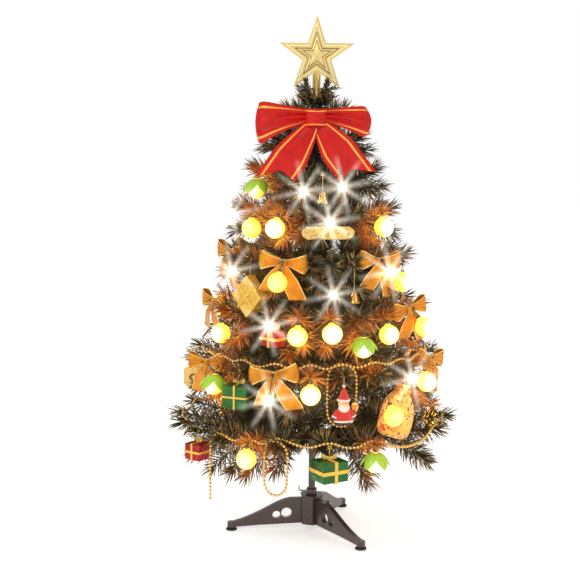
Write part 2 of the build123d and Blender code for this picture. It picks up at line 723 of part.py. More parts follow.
BAND_THICKNESS = 0.8
CORNER_CUT = 0.5
RED_GIFT = Gift(0, -56, 13, 21, 18, 21, 2.4, turn=20)
GREEN_GIFT = Gift(0, 7, 13, 31, 22, 27, 4.0, turn=25)
GOLD_BOX = Gift(3, -45, 16, 34, 34, 13, 3.0, tip_over=45)
RED_BOX = Gift(2, -22, 14, 23, 17, 15, 3.0, turn=-15)
GREEN_CUBE = Gift(1, -36, 14, 28, 25, 24, 2.0, turn=15)
STATIC_GIFTS = {"gold_box": GOLD_BOX, "red_box": RED_BOX, "green_cube": GREEN_CUBE}

for name, gift in {"red_gift": RED_GIFT, "green_gift": GREEN_GIFT, **STATIC_GIFTS}.items():
    with BuildPart() as wrapped_box:
        gift.add_box()
        chamfer(wrapped_box.edges(), length=CORNER_CUT)
    save(wrapped_box.part, name)

for name, gift in {"red_gift_ribbon": RED_GIFT, "green_gift_ribbon": GREEN_GIFT}.items():
    with BuildPart() as ribbon_and_string:
        gift.add_ribbon()
        add_hanger(gift.limb, gift.drop + BAND_THICKNESS / 2)
    save(ribbon_and_string.part, name)

with BuildPart() as box_ribbons:
    for gift in STATIC_GIFTS.values():
        gift.add_ribbon()
save(box_ribbons.part, "box_ribbons")

# ---- heart plaque -----------------------------------------------------------------------------
PLAQUE_WIDTH = 36.0
PLAQUE_THICKNESS = 3.2
PLAQUE_DROP = 13.0
PLAQUE_TURN = 62.0  # it hangs facing the front rather than away from the trunk
HEART_RISE = 1.2
HEART_HEIGHT = 13.0
plaque_limb = branch(1, -90)
plaque_plane = facing_plane(hang_point(plaque_limb, PLAQUE_DROP + PLAQUE_WIDTH / 2), -90, PLAQUE_TURN)

with BuildPart() as heart_plaque:
    with BuildSketch(plaque_plane):
        RegularPolygon(PLAQUE_WIDTH / 2, 6, rotation=30)
    extrude(amount=PLAQUE_THICKNESS / 2, both=True)
    chamfer(heart_plaque.edges(), length=0.5)
    with BuildSketch(plaque_plane.offset(PLAQUE_THICKNESS / 2)):
        for scale_by, heart_mode in ((1.0, Mode.ADD), (0.68, Mode.SUBTRACT)):
            with BuildLine():
                for side in (-1, 1):
                    Spline(
                        (0, -HEART_HEIGHT * 0.6 * scale_by), (side * HEART_HEIGHT / 2 * scale_by, 1.5 * scale_by),
                        (0, HEART_HEIGHT * 0.3 * scale_by), tangents=((side * 0.9, 1), (-side * 0.6, -1)),
                    )
            make_face(mode=heart_mode)
    extrude(amount=HEART_RISE)
save(heart_plaque.part, "heart_plaque")

with BuildPart() as heart_string:
    add_hanger(plaque_limb, PLAQUE_DROP - SEAT_GAP)
save(heart_string.part, "heart_string")

# ---- gift sack --------------------------------------------------------------------------------
SACK_WIDTH = 46.0
SACK_HEIGHT = 60.0
SACK_DEPTH = 19.0
SACK_TILT = -20.0
SACK_DROP = 16.0
SACK_NECK = 14.0
SACK_TIE_DIAMETER = 19.0
sack_limb = branch(1, 47)
sack_plane = facing_plane(hang_point(sack_limb, SACK_DROP), 47, 0, SACK_TILT)
neck_plane = Plane(origin=sack_plane.origin, x_dir=sack_plane.x_dir, z_dir=-sack_plane.y_dir)

with BuildPart() as gift_sack:
    with BuildSketch(neck_plane):
        Ellipse(SACK_NECK, SACK_NECK * 0.55)
    with BuildSketch(neck_plane.offset(7)):
        Ellipse(SACK_NECK / 2, SACK_NECK / 2 - 0.5)
    loft(ruled=True)
    with BuildSketch(neck_plane.offset(7)):
        Ellipse(SACK_NECK / 2, SACK_NECK / 2 - 0.5)
    with BuildSketch(neck_plane.offset(22)):
        RectangleRounded(SACK_WIDTH - 4, SACK_DEPTH - 3, 6)
    with BuildSketch(neck_plane.offset(SACK_HEIGHT)):
        RectangleRounded(SACK_WIDTH, SACK_DEPTH, 6)
    loft(ruled=True)
save(gift_sack.part, "gift_sack")

with BuildPart() as sack_tie:
    with BuildSketch(neck_plane.offset(5.5)):
        Circle(SACK_TIE_DIAMETER / 2)
        Circle(SACK_NECK / 2 + 1.6, mode=Mode.SUBTRACT)
    extrude(amount=3)
save(sack_tie.part, "sack_tie")

# ---- gnome figure -----------------------------------------------------------------------------
GNOME_DROP = 10.0
GNOME_WIDTH = 21.0
GNOME_DEPTH = 12.0
GNOME_HAT = 15.0
GNOME_HEAD_RADIUS = 6.6
GNOME_HEIGHT = 44.0
gnome_limb = branch(1, 14)
gnome_top = facing_plane(hang_point(gnome_limb, GNOME_DROP), 14)
gnome_down = Plane(origin=gnome_top.origin, x_dir=gnome_top.x_dir, z_dir=(0, 0, -1))

with BuildPart() as gnome_head:
    with BuildSketch(gnome_down):
        Circle(1.2)
    with BuildSketch(gnome_down.offset(GNOME_HAT)):
        Circle(GNOME_HEAD_RADIUS)
    loft()
    with BuildSketch(gnome_down.offset(GNOME_HAT)):
        Circle(GNOME_HEAD_RADIUS)
    extrude(amount=GNOME_HEAD_RADIUS * 1.3)
    fillet(gnome_head.faces().sort_by(Axis.Z)[0].edges(), radius=2.5)
save(gnome_head.part, "gnome_head")

with BuildPart() as gnome_body:
    body_top = GNOME_HAT + GNOME_HEAD_RADIUS * 1.3 + SEAT_GAP
    with BuildSketch(gnome_down.offset(body_top)):
        RectangleRounded(GNOME_WIDTH * 0.6, GNOME_DEPTH * 0.8, 3)
    with BuildSketch(gnome_down.offset(GNOME_HEIGHT - 6)):
        RectangleRounded(GNOME_WIDTH, GNOME_DEPTH, 3)
    loft()
    for side in (-1, 1):
        with BuildSketch(gnome_down.offset(GNOME_HEIGHT - 6)):
            with Locations((side * GNOME_WIDTH / 4, 0)):
                RectangleRounded(GNOME_WIDTH * 0.36, GNOME_DEPTH * 0.9, 2)
        extrude(amount=6)
save(gnome_body.part, "gnome_body")

# ---- scroll plaque and bells ------------------------------------------------------------------
SCROLL_WIDTH = 58.0
SCROLL_HEIGHT = 14.0
SCROLL_THICKNESS = 2.4
SCROLL_DROP = 13.0
scroll_limb = branch(4, 10)
scroll_plane = facing_plane(hang_point(scroll_limb, SCROLL_DROP + SCROLL_HEIGHT / 2), 10)

with BuildPart() as scroll_plaque:
    with BuildSketch(scroll_plane):
        Rectangle(SCROLL_WIDTH - 8, SCROLL_HEIGHT)
        with GridLocations(SCROLL_WIDTH - 10, 0, 2, 1):
            Circle(SCROLL_HEIGHT / 2 - 1.5)
    extrude(amount=SCROLL_THICKNESS / 2, both=True)
save(scroll_plaque.part, "scroll_plaque")

BELL_DIAMETER = 14.0
BELL_HEIGHT = 14.0
BELL_WALL = 0.9
BELLS = ((5, 7, 18), (3, 26, 30), (4, 122, 14))

with BuildPart() as bells:
    for level, heading, drop in BELLS:
        bell_top = hang_point(branch(level, heading), drop + SEAT_GAP)
        bell_plane = Plane(origin=bell_top, x_dir=(1, 0, 0), z_dir=(0, 1, 0))
        r = BELL_DIAMETER / 2
        with BuildSketch(bell_plane) as profile:
            with BuildLine():
                outside = Spline(
                    (0.5 * r, 2.5), (0.66 * r, 0.6 * BELL_HEIGHT), (r, BELL_HEIGHT),
                    tangents=((0.1, 1), (1, 1)),
                )
                inside = Spline(
                    (0.5 * r - BELL_WALL, 2.5 + BELL_WALL), (0.66 * r - BELL_WALL, 0.6 * BELL_HEIGHT),
                    (r - BELL_WALL, BELL_HEIGHT), tangents=((0.1, 1), (1, 1)),
                )
                Line(outside @ 1, inside @ 1)
                Polyline(outside @ 0, (0.3 * r, 0.8), (0, 0.8), (0, 2.5 + BELL_WALL), inside @ 0)
            make_face()
        revolve(axis=Axis(bell_top, (0, 0, 1)))
save(bells.part, "bells")

with BuildPart() as ornament_hangers:
    for gift in STATIC_GIFTS.values():
        add_hanger(gift.limb, gift.string)
    add_hanger(sack_limb, SACK_DROP - SEAT_GAP)
    add_hanger(gnome_limb, GNOME_DROP - SEAT_GAP)
    add_hanger(scroll_limb, SCROLL_DROP - SEAT_GAP)
    for level, heading, drop in BELLS:
        add_hanger(branch(level, heading), drop + 0.6)
save(ornament_hangers.part, "ornament_hangers")

# ---- bead chains ------------------------------------------------------------------------------
# Each is a string of small beads, drawn as a tube of their diameter. It is laid over the branches
# of one tier and sags between them. Near its loops and its ends the points are chosen one by one.
BEAD_DIAMETER = 3.6
HUMP_HALF = 2.1  # degrees each side of a branch that the chain stays level
SAG = 0.13  # of the span between two branches


@dataclass(frozen=True)
class Drape:
    """A chain over one tier: the tier, the chain's radius and height over the wires."""

    level: int
    radius: float
    over: float

    def height(self, radius):
        tier = TIERS[self.level]
        return tier.root + radius * tan(radians(tier.rise)) + self.over

    def point(self, heading, radius=0.0, below=0.0):
        """A point of the chain: its heading, its radius and how far it is under the branch tops."""
        radius = radius or self.radius
        return heading_vector(heading) * radius + Vector(0, 0, self.height(self.radius) - below)

    def over_branches(self, headings):
        """Points over each branch in turn, with a sag between each two."""
        points = []
        for place, heading in enumerate(headings):
            points += [self.point(heading - HUMP_HALF), self.point(heading + HUMP_HALF)]
            if place + 1 < len(headings):
                gap = headings[place + 1] - heading
                sag = SAG * self.radius * radians(gap)
                dips = 1 if gap < 17 else 2 if gap < 30 else 3
                for share in [(k + 1) / (dips + 1) for k in range(dips)]:
                    points.append(self.point(heading + gap * share, below=4 * sag * share * (1 - share)))
        return points


def chain_tube(points):
    """The chain's tube, along straight runs joined by the largest arcs that they allow."""
    radii = []
    for before, corner, after in zip(points, points[1:], points[2:]):
        first, second = corner - before, after - corner
        radii.append(0.45 * min(first.length, second.length) / tan(radians(first.get_angle(second)) / 2))
    print("bead chain radii:", *(round(radius, 1) for radius in radii))
    with BuildLine() as route:
        FilletPolyline(*points, radius=radii)
    path = route.wires()[0]
    with BuildPart() as tube:
        with BuildSketch(Plane(origin=points[0], z_dir=(points[1] - points[0]).normalized())) as section:
            Circle(BEAD_DIAMETER / 2)
        sweep(section.sketch, path=path)
    section_by_length = path.length * pi * BEAD_DIAMETER ** 2 / 4
    ratio = tube.part.volume / section_by_length
    print("bead chain length", round(path.length, 1), "volume ratio", round(ratio, 4))
    return tube.part


lower = Drape(0, 152.0, 4.0)
lower_points = [
    lower.point(-47.3, 153, 78), lower.point(-47.5, 153, 59), lower.point(-47.2, 153.4, 40),
    lower.point(-47.4, 153, 23), lower.point(-47.0, 152.4, 8),
    *lower.over_branches((-42, -27, -15)),
    lower.point(-10.0, 153.5, 7.8), lower.point(-9.8, 154.2, 21), lower.point(-10.0, 154, 36),
    lower.point(-10.2, 153.4, 51), lower.point(-13.1, 152, 59.5), lower.point(-17.3, 150.5, 59.5),
    lower.point(-20.3, 149, 51), lower.point(-20.5, 147, 36), lower.point(-20.7, 145.5, 21),
    lower.point(-20.4, 144.4, 6.6), lower.point(-17.3, 143, -1.3), lower.point(-13.0, 143.5, -1.3),
    lower.point(-7.5, 146, 3), lower.point(-1, 150.5, 6),
    *lower.over_branches((7, 26, 66, 90, 112, 135, 158, 180, 202, 225, 248, 270, 287)),
]
save(chain_tube(lower_points), "bead_chain_lower")

upper = Drape(1, 131.0, 12.6)
upper_points = [
    *upper.over_branches((-76, -62, -49, -36, -18, -1)),
    upper.point(6, below=5), upper.point(11.4), upper.point(17.0, 131.5),
    upper.point(20.6, 132.5, 8.2), upper.point(20.9, 132.5, 24), upper.point(20.7, 132.2, 42),
    upper.point(20.7, 131.8, 59.2), upper.point(16.8, 130.5, 68), upper.point(11.3, 128.8, 68),
    upper.point(7.4, 127.4, 59.2), upper.point(7.1, 125.6, 43), upper.point(7.3, 123.8, 26),
    upper.point(7.6, 122.4, 9.4), upper.point(11.2, 121.4, 0.8), upper.point(16.8, 122, 0.8),
    upper.point(22.5, 126.5, 6),
    *upper.over_branches((31, 47, 63, 79, 100, 122, 145, 168, 191, 213, 235)),
]
save(chain_tube(upper_points), "bead_chain_upper")
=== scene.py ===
"""A decorated tabletop tree on a three-legged stand: its looks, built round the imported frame.

Everything is in metres, +Z up, with the front towards -Y. Pieces take their places from the CAD
nodes: the branch wires give the needles their lines, and the knots, lamps and ties give the
ribbons, globes and figures theirs.
"""

import logging
import math
from dataclasses import dataclass, field
from enum import Enum
from typing import Callable, Iterable, Optional, Sequence, Union

import bpy
import numpy as np
from mathutils import Euler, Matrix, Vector


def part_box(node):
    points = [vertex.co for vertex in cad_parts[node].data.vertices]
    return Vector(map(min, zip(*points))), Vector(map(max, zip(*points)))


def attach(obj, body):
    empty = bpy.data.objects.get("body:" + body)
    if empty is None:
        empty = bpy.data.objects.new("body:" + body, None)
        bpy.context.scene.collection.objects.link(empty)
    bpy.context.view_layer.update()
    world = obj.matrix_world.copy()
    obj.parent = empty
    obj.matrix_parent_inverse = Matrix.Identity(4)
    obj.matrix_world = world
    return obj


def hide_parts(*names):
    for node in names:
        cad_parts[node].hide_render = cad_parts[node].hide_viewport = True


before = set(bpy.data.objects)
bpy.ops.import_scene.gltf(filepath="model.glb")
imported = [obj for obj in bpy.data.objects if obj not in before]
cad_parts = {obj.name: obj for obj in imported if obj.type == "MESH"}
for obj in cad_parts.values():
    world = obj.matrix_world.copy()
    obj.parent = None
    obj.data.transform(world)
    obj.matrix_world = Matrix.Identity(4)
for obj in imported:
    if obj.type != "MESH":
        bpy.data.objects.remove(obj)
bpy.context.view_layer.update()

LOG = logging.getLogger("tree")
MM = 0.001
UP = np.array((0.0, 0.0, 1.0))
FRONT = np.array((0.0, -1.0, 0.0))
Colour = tuple[float, float, float]
Spot = tuple[float, float, float]
Term = Union["Value", float, Sequence[float]]


# ---- shader maths -----------------------------------------------------------------------------
class Value:
    """A node's output socket that takes part in arithmetic."""

    def __init__(self, graph: "Graph", socket: bpy.types.NodeSocket) -> None:
        """Keeps the graph and the socket."""
        self.graph = graph
        self.socket = socket

    def __add__(self, other: Term) -> "Value":
        """Sum."""
        return self.graph.maths("ADD", self, other)

    __radd__ = __add__

    def __sub__(self, other: Term) -> "Value":
        """Difference."""
        return self.graph.maths("SUBTRACT", self, other)

    def __rsub__(self, other: Term) -> "Value":
        """Difference, the other way round."""
        return self.graph.maths("SUBTRACT", other, self)

    def __mul__(self, other: Term) -> "Value":
        """Product."""
        return self.graph.maths("MULTIPLY", self, other)

    __rmul__ = __mul__

    def __truediv__(self, other: Term) -> "Value":
        """Quotient."""
        return self.graph.maths("DIVIDE", self, other)

    def __pow__(self, other: Term) -> "Value":
        """Power."""
        return self.graph.maths("POWER", self, other)

    def __gt__(self, other: Term) -> "Value":
        """1 where this is greater."""
        return self.graph.maths("GREATER_THAN", self, other)

    def __lt__(self, other: Term) -> "Value":
        """1 where this is less."""
        return self.graph.maths("LESS_THAN", self, other)

    def __abs__(self) -> "Value":
        """Size without sign."""
        return self.graph.maths("ABSOLUTE", self)


class Graph:
    """A material's nodes, with one Principled shader."""

    def __init__(self, name: str) -> None:
        """Makes the material.

        Args:
            name: the material's name.
        """
        self.material = bpy.data.materials.new(name)
        self.material.use_nodes = True
        self.tree = self.material.node_tree
        self.shader = next(node for node in self.tree.nodes if node.type == "BSDF_PRINCIPLED")

    def feed(self, socket: bpy.types.NodeSocket, value: Term) -> None:
        """Links a value to a socket, or sets the socket's own number or colour."""
        if isinstance(value, Value):
            self.tree.links.new(value.socket, socket)
        elif socket.type == "RGBA":
            socket.default_value = (*value[:3], 1.0)
        else:
            socket.default_value = value

    def node(self, kind: str, settings: dict, sockets: dict, output: Union[int, str] = 0) -> Value:
        """Adds a node.

        Args:
            kind: the node's type.
            settings: its properties, and "stops" for a ramp's (position, colour) pairs.
            sockets: values or links by input name or number.
            output: the output that is wanted.

        Returns:
            The output as a value.
        """
        made = self.tree.nodes.new(kind)
        for name, setting in settings.items():
            if name == "stops":
                elements = made.color_ramp.elements
                while len(elements) < len(setting):
                    elements.new(0.5)
                for element, (position, colour) in zip(elements, setting):
                    element.position = position
                    element.color = (*colour, 1.0)
            else:
                setattr(made, name, setting)
        for name, value in sockets.items():
            self.feed(made.inputs[name], value)
        return Value(self, made.outputs[output])

    def maths(self, operation: str, *terms: Term) -> Value:
        """Adds an expression's node: Mix for colours, Vector Math for vectors, else Math."""
        kinds = {term.socket.type for term in terms if isinstance(term, Value)}
        if "RGBA" in kinds:
            settings = {"data_type": "RGBA", "blend_type": operation}
            return self.node("ShaderNodeMix", settings, {0: 1.0, 6: terms[0], 7: terms[1]}, 2)
        kind = "ShaderNodeVectorMath" if "VECTOR" in kinds else "ShaderNodeMath"
        return self.node(kind, {"operation": operation}, dict(enumerate(terms)))

    def mix(self, factor: Term, low: Term, high: Term) -> Value:
        """A colour between two, by a factor."""
        return self.node("ShaderNodeMix", {"data_type": "RGBA"}, {0: factor, 6: low, 7: high}, 2)

    def place(self) -> Value:
        """Where the surface is, in metres."""
        return self.node("ShaderNodeTexCoord", {}, {}, "Object")

    def attribute(self, name: str) -> Value:
        """A number stored on the mesh."""
        return self.node("ShaderNodeAttribute", {"attribute_name": name}, {}, "Fac")

    def noise(self, scale: float, detail: float = 2.0, where: Optional[Value] = None) -> Value:
        """Soft noise from 0 to 1; scale counts per metre."""
        sockets = {"Vector": where or self.place(), "Scale": scale, "Detail": detail}
        return self.node("ShaderNodeTexNoise", {}, sockets, 0)

    def cells(self, scale: float, feature: str = "F1", output: str = "Distance") -> Value:
        """Voronoi cells; scale counts per metre."""
        sockets = {"Vector": self.place(), "Scale": scale}
        return self.node("ShaderNodeTexVoronoi", {"feature": feature}, sockets, output)

    def ramp(self, value: Term, *stops: tuple[float, Colour]) -> Value:
        """A colour ramp."""
        return self.node("ShaderNodeValToRGB", {"stops": stops}, {0: value})

    def bump(self, height: Value, depth: float, strength: float = 1.0) -> Value:
        """A bumped normal, from a height in parts of a depth in metres."""
        sockets = {"Height": height, "Distance": depth, "Strength": strength}
        return self.node("ShaderNodeBump", {}, sockets)

    def surface(self, **sockets: Term) -> None:
        """Sets the Principled shader's sockets: Base_Color stands for Base Color, and so on."""
        for name, value in sockets.items():
            self.feed(self.shader.inputs[name.replace("_", " ")], value)


# ---- finishes ---------------------------------------------------------------------------------
def scaled(colour: Colour, share: float) -> Colour:
    """The same colour, darker."""
    return tuple(share * part for part in colour)


@dataclass(frozen=True)
class Finish:
    """A finish: what it is called and the slot that it belongs to."""

    name: str
    slot: str

    def material(self) -> bpy.types.Material:
        """The finish's material, made once."""
        title = f"{self.name}_finish"
        found = bpy.data.materials.get(title)
        if found is None:
            graph = Graph(title)
            self.shade(graph)
            found = graph.material
        return found

    def shade(self, graph: Graph) -> None:
        """Builds the nodes."""
        raise NotImplementedError


@dataclass(frozen=True)
class Moulded(Finish):
    """Moulded plastic: colour, how rough it is, and how much clear gloss lies on it."""

    colour: Colour
    roughness: float = 0.35
    gloss: float = 0.2

    def shade(self, graph: Graph) -> None:
        """Slight mottling, rubbed patches and a fine moulded grain."""
        mottle = graph.noise(55.0, 3.0)
        dark = scaled(self.colour, 0.72)
        light = tuple(min(1.0, 1.25 * part + 0.004) for part in self.colour)
        graph.surface(
            Base_Color=graph.mix(mottle, dark, light),
            Roughness=graph.noise(160.0, 2.0) * 0.22 + (self.roughness - 0.11),
            Coat_Weight=self.gloss,
            Coat_Roughness=0.12,
            Normal=graph.bump(graph.noise(1500.0, 2.0), 0.00012, 0.35),
        )


@dataclass(frozen=True)
class NeedleFilm(Finish):
    """Thin glossy needles: dark green to brown, paler at the tips, painted lamp glow near lamps."""

    def shade(self, graph: Graph) -> None:
        """Tint for each needle, along it, and a painted lamp glow that the needles emit near lamps.
        """
        tint = graph.attribute("tint")
        along = graph.attribute("along")
        glow = graph.attribute("glow")
        body = graph.ramp(
            tint,
            (0.0, (0.008, 0.008, 0.004)), (0.3, (0.012, 0.030, 0.008)),
            (0.55, (0.030, 0.046, 0.010)), (0.76, (0.150, 0.055, 0.012)),
            # The cream stop makes some needles painted highlights.
            (0.92, (0.62, 0.40, 0.14)),
        )
        tipped = graph.mix(along ** 2.0 * 0.34, body, (0.32, 0.20, 0.06))
        graph.surface(
            Base_Color=tipped,
            Roughness=graph.noise(400.0, 1.0) * 0.2 + 0.22,
            Specular_IOR_Level=0.6,
            # Painted lamp light: the needles themselves emit, more strongly near the lamps.
            Emission_Color=graph.ramp(
                glow,
                (0.0, (0, 0, 0)), (0.12, (0.05, 0.008, 0.0)), (0.35, (0.38, 0.05, 0.0)),
                (0.65, (0.95, 0.30, 0.015)), (1.0, (1.0, 0.72, 0.10)),
            ),
            Emission_Strength=0.8,
        )


@dataclass(frozen=True)
class Satin(Finish):
    """Woven satin ribbon, with a stripe or a paler selvedge along both edges."""

    colour: Colour
    # A darker copy of the colour, laid on in noise patches as painted shade.
    painted_shade_colour: Colour
    stripe: Colour
    stripe_at: float
    stripe_half: float
    metallic: float = 0.0

    def shade(self, graph: Graph) -> None:
        """Body colour with noise patches of painted shade, stripe by the distance across, and a
        fine rib in the weave.
        """
        across = abs(graph.attribute("across"))
        striped = abs(across - self.stripe_at) < self.stripe_half
        # Painted shade: noise patches darken the body towards the shaded copy.
        body = graph.mix(graph.noise(90.0, 2.0), self.painted_shade_colour, self.colour)
        rib = graph.node(
            "ShaderNodeTexWave", {"wave_type": "BANDS", "bands_direction": "DIAGONAL"},
            {"Vector": graph.place(), "Scale": 650.0, "Distortion": 1.2}, "Fac",
        )
        graph.surface(
            Base_Color=graph.mix(striped, body, self.stripe),
            Roughness=graph.noise(300.0, 2.0) * 0.18 + 0.30,
            Metallic=striped * 0.35 + self.metallic,
            Specular_IOR_Level=0.2,
            Sheen_Weight=0.03,
            Sheen_Roughness=0.35,
            Normal=graph.bump(rib, 0.00008, 0.5),
        )


@dataclass(frozen=True)
class Foil(Finish):
    """Wrapping foil over a box: creased, bright on the flats and darker along its folds, where the
    fold colour is painted shade.
    """

    colour: Colour
    # The fold colour is a darker copy of the colour, laid on as painted shade.
    fold: Colour
    metallic: float = 0.45

    def shade(self, graph: Graph) -> None:
        """Large soft creases and small sharp ones."""
        crease = graph.cells(130.0, "DISTANCE_TO_EDGE")
        soft = graph.noise(70.0, 4.0)
        graph.surface(
            # Painted shade: the soft noise that also sinks the bump darkens the colour towards the
            # fold colour.
            Base_Color=graph.mix(soft ** 1.5, self.fold, self.colour),
            Roughness=graph.noise(240.0, 2.0) * 0.25 + 0.16,
            Metallic=self.metallic,
            Normal=graph.bump(crease * 2.0 + soft, 0.0007, 0.7),
        )


@dataclass(frozen=True)
class Glitter(Finish):
    """Gold plastic with fine glitter in it; grain counts flakes per metre."""

    colour: Colour
    dark: Colour
    grain: float

    def gold(self, graph: Graph) -> tuple[Value, Value]:
        """The flakes' level and their colour."""
        flake = graph.noise(self.grain, 2.0)
        return flake, graph.mix(flake, self.dark, self.colour)


@dataclass(frozen=True)
class StarRelief(Glitter):
    """The star's gold, with painted shade in dark grooves and a painted highlight on a bright
    ridge, which follow its outline inwards.
    """

    # Painted shade in the grooves, and a painted highlight along the ridge.
    groove_shade: Colour = (0.20, 0.115, 0.025)
    ridge: Colour = (1.0, 0.90, 0.52)
    height: float = 0.555
    reach: float = 0.045
    points: int = 5
    ridge_at: tuple[float, float] = (0.80, 0.035)
    grooves_at: tuple[tuple[float, float], tuple[float, float]] = ((0.57, 0.034), (0.37, 0.026))

    def shade(self, graph: Graph) -> None:
        """Level is 1 on the star's outline, 0 at its middle; a line has a level and half width."""
        x = graph.node("ShaderNodeSeparateXYZ", {}, {0: graph.place()}, "X")
        z = graph.node("ShaderNodeSeparateXYZ", {}, {0: graph.place()}, "Z") - self.height
        folded = graph.maths("PINGPONG", graph.maths("ARCTAN2", x, z), math.pi / self.points)
        steep = math.tan(math.radians(72))
        slope = graph.maths("COSINE", folded) + graph.maths("SINE", folded) * steep
        level = (x * x + z * z) ** 0.5 * slope / self.reach
        flake, gold = self.gold(graph)
        ridge = abs(level - self.ridge_at[0])
        lines = [abs(level - at) < half for at, half in self.grooves_at]
        grooves = graph.maths("MAXIMUM", *lines)
        graph.surface(
            # Painted shade in the grooves and a painted highlight on the ridge line, both on top of
            # the gold.
            Base_Color=graph.mix(
                grooves, graph.mix(ridge < self.ridge_at[1], gold, self.ridge), self.groove_shade
            ),
            Roughness=flake * 0.3 + 0.22,
            Metallic=0.55,
            Normal=graph.bump(ridge * -3.0 - grooves + flake * 0.2, 0.0008, 0.6),
        )


@dataclass(frozen=True)
class Scrollwork(Glitter):
    """Gold glitter plastic with raised curls that have no meaning; their dark line colour is
    painted shade.
    """

    # The painted shade in the curls.
    line: Colour = (0.40, 0.23, 0.05)

    def shade(self, graph: Graph) -> None:
        """Curls are rings round scattered points, which cut into one another."""
        flake, gold = self.gold(graph)
        curls = abs(graph.cells(160.0) - 0.36) < 0.055
        graph.surface(
            # Painted shade: the curls take the dark line colour where the bump sinks them.
            Base_Color=graph.mix(curls, gold, self.line),
            Roughness=flake * 0.3 + 0.2,
            Metallic=0.55,
            Normal=graph.bump(flake * 0.2 - curls, 0.0006, 0.6),
        )


@dataclass(frozen=True)
class Lit(Finish):
    """Something that shines: its own colour and the light it gives."""

    colour: Colour
    light: Colour
    strength: float

    def shade(self, graph: Graph) -> None:
        """Frosted and a little uneven."""
        frost = graph.noise(420.0, 2.0)
        graph.surface(
            Base_Color=graph.mix(frost, scaled(self.colour, 0.9), self.colour),
            Roughness=frost * 0.2 + 0.45,
            Emission_Color=graph.mix(frost * 0.25, self.light, scaled(self.light, 0.85)),
            Emission_Strength=self.strength,
        )


@dataclass(frozen=True)
class Frosted(Finish):
    """A lit frosted globe: white round its lamp, yellow or orange away from it."""

    strength: float

    def shade(self, graph: Graph) -> None:
        """Warmth runs from 0, nearly white, to 1, deep orange, and differs from globe to globe."""
        warmth = graph.attribute("warmth")
        frost = graph.noise(380.0, 3.0)
        graph.surface(
            Base_Color=(0.40, 0.30, 0.14),
            Roughness=frost * 0.2 + 0.4,
            Emission_Color=graph.ramp(
                warmth + frost * 0.06, (0.0, (1.0, 0.97, 0.82)), (0.3, (1.0, 0.82, 0.18)),
                (0.6, (1.0, 0.56, 0.03)), (1.0, (0.85, 0.28, 0.005)),
            ),
            Emission_Strength=self.strength,
        )


@dataclass(frozen=True)
class PrintedCloth(Finish):
    """Sack cloth in orange and yellow, printed with red motifs."""

    def shade(self, graph: Graph) -> None:
        """Patches of two ground colours, red blots, pale dots and a plain weave."""
        ground = graph.mix(graph.noise(60.0, 1.0) > 0.5, (0.95, 0.52, 0.05), (0.88, 0.26, 0.03))
        motif = graph.cells(150.0) < 0.30
        ring = abs(graph.cells(95.0) - 0.42) < 0.07
        dots = graph.cells(260.0) < 0.14
        printed = graph.mix(motif, ground, (0.62, 0.035, 0.015))
        printed = graph.mix(ring, printed, (0.98, 0.80, 0.22))
        printed = graph.mix(dots, printed, (0.98, 0.85, 0.45))
        threads = {"Vector": graph.place(), "Scale": 1800.0}
        weave = graph.node("ShaderNodeTexChecker", {}, threads, "Fac")
        graph.surface(
            Base_Color=printed, Roughness=0.7, Sheen_Weight=0.25,
            Normal=graph.bump(weave, 0.00012, 0.5),
        )


@dataclass(frozen=True)
class Plush(Finish):
    """Soft cloth, felt or yarn in one dye."""

    colour: Colour
    pile: float = 1400.0

    def shade(self, graph: Graph) -> None:
        """Short pile, paler where its bump rises: uneven dye and painted light in one."""
        pile = graph.noise(self.pile, 3.0)
        graph.surface(
            # Uneven dye and painted light: the bump's own noise darkens the colour where the pile
            # sinks.
            Base_Color=graph.mix(pile, scaled(self.colour, 0.62), self.colour),
            Roughness=0.85, Sheen_Weight=0.4,
            Normal=graph.bump(pile, 0.0005, 0.8),
        )


@dataclass(frozen=True)
class Metal(Finish):
    """Plated or drawn metal with fine scratches."""

    colour: Colour
    roughness: float = 0.25

    def shade(self, graph: Graph) -> None:
        """Scratches vary the roughness."""
        scratch = graph.noise(900.0, 4.0)
        graph.surface(
            Base_Color=graph.mix(scratch, scaled(self.colour, 0.7), self.colour),
            Metallic=0.9, Roughness=scratch * 0.25 + (self.roughness - 0.1),
            Normal=graph.bump(scratch, 0.00006, 0.4),
        )


@dataclass(frozen=True)
class HeartPrint(Finish):
    """A gold plaque whose raised outline is brown."""

    colour: Colour
    raised: Colour
    face: tuple[float, float, float]
    level: float

    def shade(self, graph: Graph) -> None:
        """Brown where the surface stands out past the plaque's face, on either side of it."""
        product, terms = {"operation": "DOT_PRODUCT"}, {0: graph.place(), 1: self.face}
        reach = graph.node("ShaderNodeVectorMath", product, terms, "Value")
        mottle = graph.noise(120.0, 3.0)
        ground = graph.mix(mottle, scaled(self.colour, 0.75), self.colour)
        graph.surface(
            Base_Color=graph.mix(reach > self.level, ground, self.raised),
            Metallic=0.25,
            Roughness=mottle * 0.2 + 0.3,
            Normal=graph.bump(graph.noise(700.0), 0.00012, 0.5),
        )


STAND = Moulded("stand_brown", "dark_plastic", (0.050, 0.024, 0.016), 0.3, 0.35)
POLE = Moulded("pole_brown", "pole_brown", (0.060, 0.032, 0.022), 0.34, 0.2)
PAD = Moulded("pad_rubber", "pad", (0.030, 0.030, 0.030), 0.75, 0.0)
SCREW = Metal("screw_steel", "screw", (0.62, 0.62, 0.64))
WIRE = Moulded("wire_sleeve", "wire", (0.030, 0.036, 0.014), 0.5, 0.05)
NEEDLES = NeedleFilm("needle_film", "foliage")
GOLD_PLASTIC = StarRelief(
    "star_gold", "gold_plastic", (0.90, 0.70, 0.26), (0.66, 0.46, 0.13), 3000.0
)
STAR_FACE = StarRelief("star_face", "star_dark", (0.95, 0.76, 0.32), (0.60, 0.42, 0.12), 2400.0)
STAR_STEM = Metal("star_stem", "gold_plastic", (0.93, 0.66, 0.20), 0.2)
